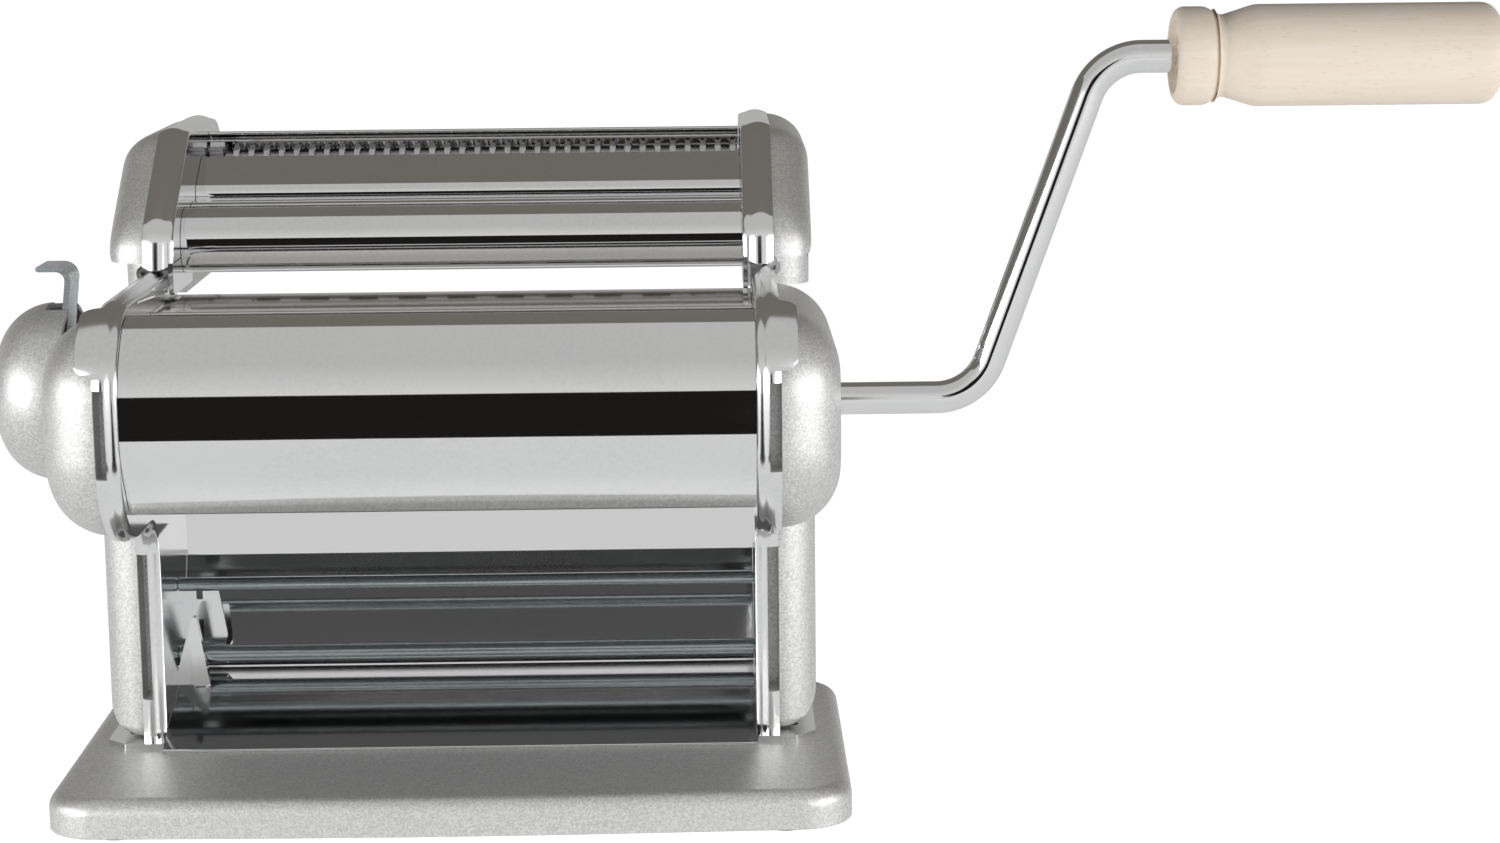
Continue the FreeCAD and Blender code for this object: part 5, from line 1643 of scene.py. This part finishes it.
@dataclass
class Cutter:
    """Double cutter: plates with hooks, covers, shields and the cutting rollers."""

    rim: float = 8.0
    top: float = 92.0
    edge: float = 11.0
    power: float = 18.0
    disc: float = 7.6
    core: float = 5.6
    shield: float = 8.7
    share: float = 0.42
    disc_edge: float = 0.15
    stub: float = 3.0
    stub_end: float = 75.0
    socket: float = 6.0
    socket_bore: float = 4.05
    socket_x: Point = (75.8, 78.0, 90.0)
    hole: float = 7.2
    rod: float = 2.2
    hole_floor: float = 0.6
    cut_y: Spot = (15.0, 120.0)
    cut_low: float = 110.0
    span: float = 13.7
    step: float = 4.5
    gear_room: float = 4.9
    end_gap: float = 0.5
    hook_y: Spot = (22.0, 36.0)

    @property
    def corners(self) -> Array:
        """Corners (y, z, radius) of a cutter plate."""
        return np.array([[20.5, 131.2, 0], [42, 131.2, 8], [52, 125, 12], [79, 125, 14],
                         [113, 141.7, 10], [113, 165.4, 13], [54.5, 165.4, 9], [22.5, 142.2, 10]], float)

    @property
    def pitches(self) -> dict[str, float]:
        """Distance of the discs of each cutting pair."""
        return {"wide": 13.0, "narrow": 4.17}

    @property
    def shifts(self) -> dict[str, float]:
        """Shift of a pair's discs in pitches, so that they pass between each other."""
        return {"front": -0.25, "rear": 0.25}

    @property
    def tongue(self) -> Array:
        """Corners (y, z, radius) of the tongue between the machine's plates."""
        return np.array([[21, 124.75, 2], [51, 124.75, 0.2], [51, 133.2, 0.2], [21, 133.2, 0.2]], float)

    @property
    def shafts(self) -> dict[str, Spot]:
        """Axes (y, z) of the four cutting rollers."""
        run = math.sqrt(self.span ** 2 - self.step ** 2)
        return {"wide_cutter_front": (43.0, 136.0), "wide_cutter_rear": (56.7, 136.0),
                "narrow_cutter_front": (75.5, 146.5), "narrow_cutter_rear": (75.5 + run, 151.0)}

    @property
    def pillows(self) -> list[tuple[Array, float]]:
        """The two forms of a cover.

        Returns:
            The corners (y, z) of each and the height at which it is cut.
        """
        upper = np.array([[22.2, 126.5], [104, 126.5], [111.4, 142.6], [111.4, 163.9], [55, 163.9],
                          [24, 141.4]], float)
        belly = np.array([[48.5, 113], [79, 114], [111, 138], [104, 150], [46.5, 148]], float)
        return [(upper, 132.9), (belly, 122.0)]

    def plate(self, side: Side) -> bpy.types.Object:
        """A plate with its rim, the tongue and the rail hook.

        Args:
            side: the end it stands at.

        Returns:
            The plate.
        """
        surface = Tray(self.corners, LAY.cutter_in, self.rim).surface(side, [])
        levels = np.array([LAY.cutter_in, LAY.cutter_web]) * side.value
        drawn_out(surface, rounded(self.tongue, 6), levels, Draw.ALONG_X)
        edge = LAY.half + LAY.rim
        hook = np.array([[LAY.cutter_in + 0.6, 131.8, 0], [edge + 1.1, 131.8, 1.2],
                         [edge + 1.1, 128.9, 1.2], [edge - 2.0, 128.9, 0]], float)
        line = bent_line(hook * np.array([side.value, 1, 1]), 8)
        drawn_out(surface, sheet_section(line, LAY.sheet), np.array(self.hook_y), Draw.ALONG_Y)
        return surface.mesh(side.word + "_cutter_frame")

    def cover(self, side: Side) -> bpy.types.Object:
        """A satin cover of two pillows; the right one has a hole in front of each crank socket.

        Args:
            side: the end it stands at.

        Returns:
            The cover.
        """
        near, far, deep = LAY.cutter_web, self.top + 1, LAY.cutter_web + self.hole_floor
        bore = np.array([[deep, 0], [deep, self.hole], [far, self.hole], [far, 0]], float)
        parts = []
        for corners, under in self.pillows:
            part = soft_pillow(Surface(), corners, (near, self.top), self.edge, side, self.power)
            tools = [block(ordered(side, near - 1, far), self.cut_y, (self.cut_low, under))]
            if side is Side.RIGHT:
                tools += [turned(Surface(), bore, self.shafts[name], 64).mesh("cutting_bore")
                          for name in ("wide_cutter_rear", "narrow_cutter_rear")]
            parts.append(carve(part.mesh("cap_part"), tools))
        return joined(side.word + "_cutter_cap", parts)

    def roller(self, name: str, pitch: float, shift: float) -> bpy.types.Object:
        """Turn a cutting roller: discs of the given pitch on a core, with stub ends.

        Args:
            name: node name of the roller.
            pitch: distance of the discs.
            shift: shift of the discs in pitches.

        Returns:
            The roller.
        """
        start, end = -LAY.cutter_in + self.gear_room, LAY.cutter_in - self.end_gap
        count = int((end - start) // pitch)
        middles = (start + end) / 2 + pitch * (np.arange(count) + 0.5 - count / 2 + shift)
        half, core, disc, cut = pitch * self.share / 2, self.core, self.disc, self.disc_edge
        steps = np.array([[-half, core], [-half, disc - cut], [-half + cut, disc],
                          [half - cut, disc], [half, disc - cut], [half, core]])
        discs = np.tile(steps, (count, 1, 1))
        discs[..., 0] += middles[:, None]
        stub, tip = self.stub, self.stub_end
        ends = np.array([[-tip, 0], [-tip, stub], [start, stub], [start, core]])
        tail = np.array([[end, core], [end, stub], [tip, stub], [tip, 0.0]])
        if name.endswith("rear"):
            (low, floor, mouth), wide, bore = self.socket_x, self.socket, self.socket_bore
            tail = np.array([[end, core], [end, stub], [low, stub], [low, wide], [mouth - 0.3, wide],
                             [mouth, wide - 0.3], [mouth, bore], [floor, bore], [floor, 0]])
        profile = np.vstack([ends, discs.reshape(-1, 2), tail])
        return turned(Surface(), profile, self.shafts[name], 64).mesh(name.replace("cutter", "rolls"))

    def shields(self, dress: Dresser) -> None:
        """Bend the front and rear shields about their rollers, and the middle one as a roof between them.

        Args:
            dress: the dresser.
        """
        sweeps = {"front": np.linspace(80.0, 232.0, 80), "rear": np.linspace(-70.0, 92.0, 80)}
        middle = np.array([[78.2, 154.8, 0], [74.5, 155.9, 6.0], [61.2, 147.6, 3.2], [62.4, 144.9, 0.8],
                           [56.7, 144.95, 4.0], [53.5, 144.55, 0.0]])
        lines = {"front": on_ring(self.shafts["wide_cutter_front"], self.shield, sweeps["front"]),
                 "middle": bent_line(middle, 14),
                 "rear": on_ring(self.shafts["narrow_cutter_rear"], self.shield + 1.5, sweeps["rear"])}
        width = LAY.cutter_in - 0.1
        for place, line in lines.items():
            section = sheet_section(line, LAY.thin)
            surface = drawn_out(Surface(), section, np.array([-width, width]), Draw.ALONG_X)
            dress.piece(surface.mesh(f"cutter_{place}_hood"), Finish.CHROME, "cutter",
                        f"cutter_{place}_shield")

    def rods(self, dress: Dresser) -> None:
        """Turn the two rods that hold the plates apart.

        Args:
            dress: the dresser.
        """
        half, radius = LAY.cutter_in, self.rod
        profile = np.array([[-half, 0], [-half, radius], [half, radius], [half, 0]], float)
        for place, spot in (("front", (69.5, 134.0)), ("rear", (104.0, 152.0))):
            surface = turned(Surface(), profile, spot, 40)
            dress.piece(surface.mesh(f"cutter_{place}_bar"), Finish.ZINC, "cutter", f"cutter_{place}_rod")

    def build(self, dress: Dresser) -> None:
        """Build and dress the cutter.

        Args:
            dress: the dresser.
        """
        for side in Side:
            dress.piece(self.plate(side), Finish.TRAY, "cutter", side.word + "_cutter_plate")
            dress.piece(self.cover(side), Finish.SATIN, "cutter", side.word + "_cutter_cover")
        self.shields(dress)
        rolls = [(cut, place) for cut in self.pitches for place in self.shifts]
        for cut, place in rolls:
            name = f"{cut}_cutter_{place}"
            piece = self.roller(name, self.pitches[cut], self.shifts[place])
            dress.piece(piece, Finish.STEEL, f"{cut}_{place}", name)
        self.rods(dress)
        dress.node(Finish.STEEL, *(f"{cut}_gear_{place}" for cut, place in rolls))
        dress.node(Finish.BRONZE, *(f"{cut}_comb_{place}" for cut, place in rolls))
        dress.node(Finish.ZINC, "cutter_rod_screws")


@dataclass
class Studio:
    """Camera, pale floor, soft lamps and the tones that polished metal mirrors."""

    place: Point = (63.36, -778.15, 231.33)
    yaw: float = 0.847
    pitch: float = 10.044
    roll: float = -0.559
    lens: float = 74.4
    sensor: float = 36.0
    overhead: Colour = (0.165, 0.155, 0.14, 1.0)
    ambient: Colour = (0.13, 0.13, 0.13, 1.0)
    white: Colour = (1.0, 1.0, 1.0, 1.0)
    black: Colour = (0.012, 0.010, 0.010, 1.0)
    grey: Colour = (0.075, 0.077, 0.074, 1.0)
    dull: Colour = (0.45, 0.45, 0.44, 1.0)
    pale: Colour = (0.74, 0.73, 0.73, 1.0)
    tent_high: Colour = (0.52, 0.52, 0.51, 1.0)
    tent_low: Colour = (0.82, 0.815, 0.805, 1.0)
    tent_reach: float = 1900.0
    tent_sweep: Spot = (82.0, 161.0)
    far: float = 2600.0
    floor_half: float = 9000.0
    floor_tones: tuple[Colour, Colour] = ((0.77, 0.77, 0.77, 1.0), (0.79, 0.79, 0.79, 1.0))
    shade_eye: Spot = (0.063, 0.778)
    shade_side: Spot = (0.080, 0.112)
    shade_back: Spot = (0.25, 0.30)
    shade_edge: Spot = (0.72, 1.0)
    shade_glow: Spot = (0.30, 0.42)
    camera_glow: Spot = (0.6, 0.7)
    card_grade: Spot = (0.1, 1.6)
    lamp_y: float = -0.85
    lamp_z: float = 0.30
    lamp_aim: Point = (0.0, 0.0, 0.09)
    lamp_size: Spot = (1.5, 0.5)
    lamp_power: float = 11.0

    def camera(self) -> None:
        """Place the camera: the frame's axes turned by yaw about Z, pitch about X, roll about the view."""
        data = bpy.data.cameras.new("camera")
        data.lens, data.sensor_width = self.lens, self.sensor
        data.clip_start, data.clip_end = 0.01, 50.0
        yaw, pitch, roll = (math.radians(v) for v in (self.yaw, self.pitch, self.roll))
        level = Matrix(((1, 0, 0), (0, 0, -1), (0, 1, 0)))
        right, down, ahead = (Matrix.Rotation(roll, 3, "Z") @ Matrix.Rotation(pitch, 3, "X") @ level
                              @ Matrix.Rotation(yaw, 3, "Z"))
        matrix = Matrix((right, -down, -ahead)).transposed().to_4x4()
        matrix.translation = Vector([v * MM for v in self.place])
        thing = linked("camera", data)
        thing.matrix_world = matrix
        bpy.context.scene.camera = thing

    @staticmethod
    def stage_sheet(name: str, net: Array) -> bpy.types.Object:
        """A stage surface.

        Args:
            name: object name.
            net: points (rows, columns, 3) in millimetres.

        Returns:
            The surface.
        """
        thing = Surface().grid(net).mesh(name)
        return thing

    @staticmethod
    def flat(x: Spot, y: Spot, z: float) -> Array:
        """Net (2, 2, 3) of a level rectangle."""
        xs, ys = np.meshgrid(np.array(x, float), np.array(y, float), indexing="ij")
        return np.stack([xs, ys, np.full_like(xs, z)], axis=-1)

    def floor(self) -> None:
        """Pale floor that the camera sees nearly white, with a soft painted shadow behind the machine.

        The shade is a wedge that opens away from the camera's place (x0, -y0). With shade_eye (x0, y0),
        shade_side (a, b) and shade_back (c, d) in metres, it is u = ((x - x0) / (y + y0) + a) / b across
        and v = (y - c) / d along, and the floor's glow falls where sqrt(u^4 + v^4) is below 1.
        """
        size = (-self.floor_half, self.floor_half)
        thing = self.stage_sheet("floor", self.flat(size, size, 0.0))
        material, build, shader, place = start_material("pale_floor")
        cloud = build.noise(place, 3.0, Detail=2.0)
        build.feed(shader, Base_Color=build.mix(cloud, *self.floor_tones), Roughness=0.9)
        axes = build.add("ShaderNodeSeparateXYZ")
        build.link(place, axes.inputs[0])
        x, y = axes.outputs["X"], axes.outputs["Y"]
        # Painted shadow: the floor's glow is lowered in a wedge behind the machine, as a front light would
        # leave it.
        lean = build.math("DIVIDE", build.math("SUBTRACT", x, self.shade_eye[0]),
                          build.math("ADD", y, self.shade_eye[1]))
        across = build.math("DIVIDE", build.math("ADD", lean, self.shade_side[0]), self.shade_side[1])
        along = build.math("DIVIDE", build.math("SUBTRACT", y, self.shade_back[0]), self.shade_back[1])
        powers = [build.math("POWER", build.math("ABSOLUTE", part), 4.0) for part in (across, along)]
        away = build.ramp(build.math("SQRT", build.math("ADD", *powers)), *self.shade_edge)
        glow = build.math("ADD", build.math("MULTIPLY", away, self.shade_glow[1]), self.shade_glow[0])
        path = build.add("ShaderNodeLightPath")
        share = build.math("ADD", build.math("MULTIPLY", path.outputs["Is Camera Ray"],
                                             self.camera_glow[1]), self.camera_glow[0])
        build.feed(shader, Emission_Color=self.white, Emission_Strength=build.math("MULTIPLY", share, glow))
        thing.data.materials.append(material)

    def mirror_tones(self) -> None:
        """Cards that only reflections see: a bright tent above, a dark strip ahead and toned walls."""
        ring = on_ring((LAY.axis_y, LAY.axis_z), self.tent_reach, np.linspace(*self.tent_sweep, 24))
        net = np.stack([np.column_stack([np.full(len(ring), x), ring]) for x in (-self.far, self.far)])
        self.card(self.stage_sheet("front_tent", net), self.tent_high, self.tent_low)
        ahead = np.array([[[-150, -250, 1], [84, -250, 1]], [[-660, -2450, 1], [135, -2450, 1]]], float)
        self.card(self.stage_sheet("dark_front", ahead), self.black, self.black)
        walls = {"dark_room": (self.black, (-660, 135), (0, 920), -2450.0),
                 "pale_left": (self.pale, (-self.far, -740), (0, 920), -2450.0),
                 "pale_right": (self.pale, (220, self.far), (0, 920), -2450.0),
                 "pale_far": (self.dull, (-self.far, self.far), (0, 620), 1500.0),
                 "pale_back": (self.pale, (-75, 75), (52, 90), 46.0)}
        for name, (tone, x, z, y) in walls.items():
            self.card(self.stage_sheet(name, self.flat(x, z, y)[..., [0, 2, 1]]), tone, tone)
        # A grey card under the rollers, seen only in reflections, gives the chute a painted reflection of
        # the shade inside the machine.
        self.card(self.stage_sheet("grey_flag", self.flat((-75, 75), (-36, 14), 66.0)), self.grey, self.grey)

    def card(self, thing: bpy.types.Object, high: Colour, low: Colour) -> None:
        """Make a stage surface a plain tone that only reflections see.

        Args:
            thing: the surface.
            high: tone of its upper end.
            low: tone of its lower end.
        """
        material = bpy.data.materials.new(thing.name)
        material.use_nodes = True
        build = Nodes(material.node_tree)
        place = build.add("ShaderNodeTexCoord")
        split = build.add("ShaderNodeSeparateXYZ")
        build.link(place.outputs["Object"], split.inputs[0])
        grade = build.ramp(split.outputs["Z"], *self.card_grade)
        glow = build.add("ShaderNodeEmission")
        build.feed(glow, Color=build.mix(grade, low, high), Strength=1.0)
        end = build.add("ShaderNodeOutputMaterial")
        build.link(glow.outputs[0], end.inputs["Surface"])
        thing.data.materials.append(material)
        thing.visible_camera = False
        thing.visible_diffuse = False
        thing.visible_shadow = False

    def world(self) -> None:
        """White to the camera, soft white to matt surfaces, a darker room to reflections."""
        world = bpy.data.worlds.new("studio")
        bpy.context.scene.world = world
        world.use_nodes = True
        build = Nodes(world.node_tree)
        path = build.add("ShaderNodeLightPath")
        tone = build.mix(path.outputs["Is Diffuse Ray"], self.overhead, self.ambient)
        tone = build.mix(path.outputs["Is Camera Ray"], tone, self.white)
        back = build.add("ShaderNodeBackground")
        build.feed(back, Color=tone, Strength=1.0)
        end = build.add("ShaderNodeOutputWorld")
        build.link(back.outputs[0], end.inputs["Surface"])

    def lamp(self, name: str, x: float) -> None:
        """A soft lamp that faces the machine.

        Args:
            name: object name.
            x: its place along X in metres.
        """
        data = bpy.data.lights.new(name, "AREA")
        data.shape = "RECTANGLE"
        data.size, data.size_y = self.lamp_size
        data.energy = self.lamp_power
        place = Vector((x, self.lamp_y, self.lamp_z))
        thing = linked(name, data)
        thing.location = place
        thing.rotation_euler = (Vector(self.lamp_aim) - place).to_track_quat("-Z", "Y").to_euler()

    def build(self) -> None:
        """Set up the whole studio."""
        bpy.context.scene.view_settings.view_transform = "Standard"
        self.camera()
        self.floor()
        self.mirror_tones()
        self.world()
        self.lamp("left_lamp", -1.25)
        self.lamp("right_lamp", 1.35)


def main() -> None:
    """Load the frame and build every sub-assembly."""
    logging.basicConfig(level=logging.INFO, format="%(name)s: %(message)s")
    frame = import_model()
    dress = Dresser(frame)
    for assembly in (Base(), SidePlates(), EndCovers(), RollerHead(), ThicknessDial(), Crank(), Cutter()):
        assembly.build(dress)
    Studio().build()


if __name__ == "__main__":
    main()
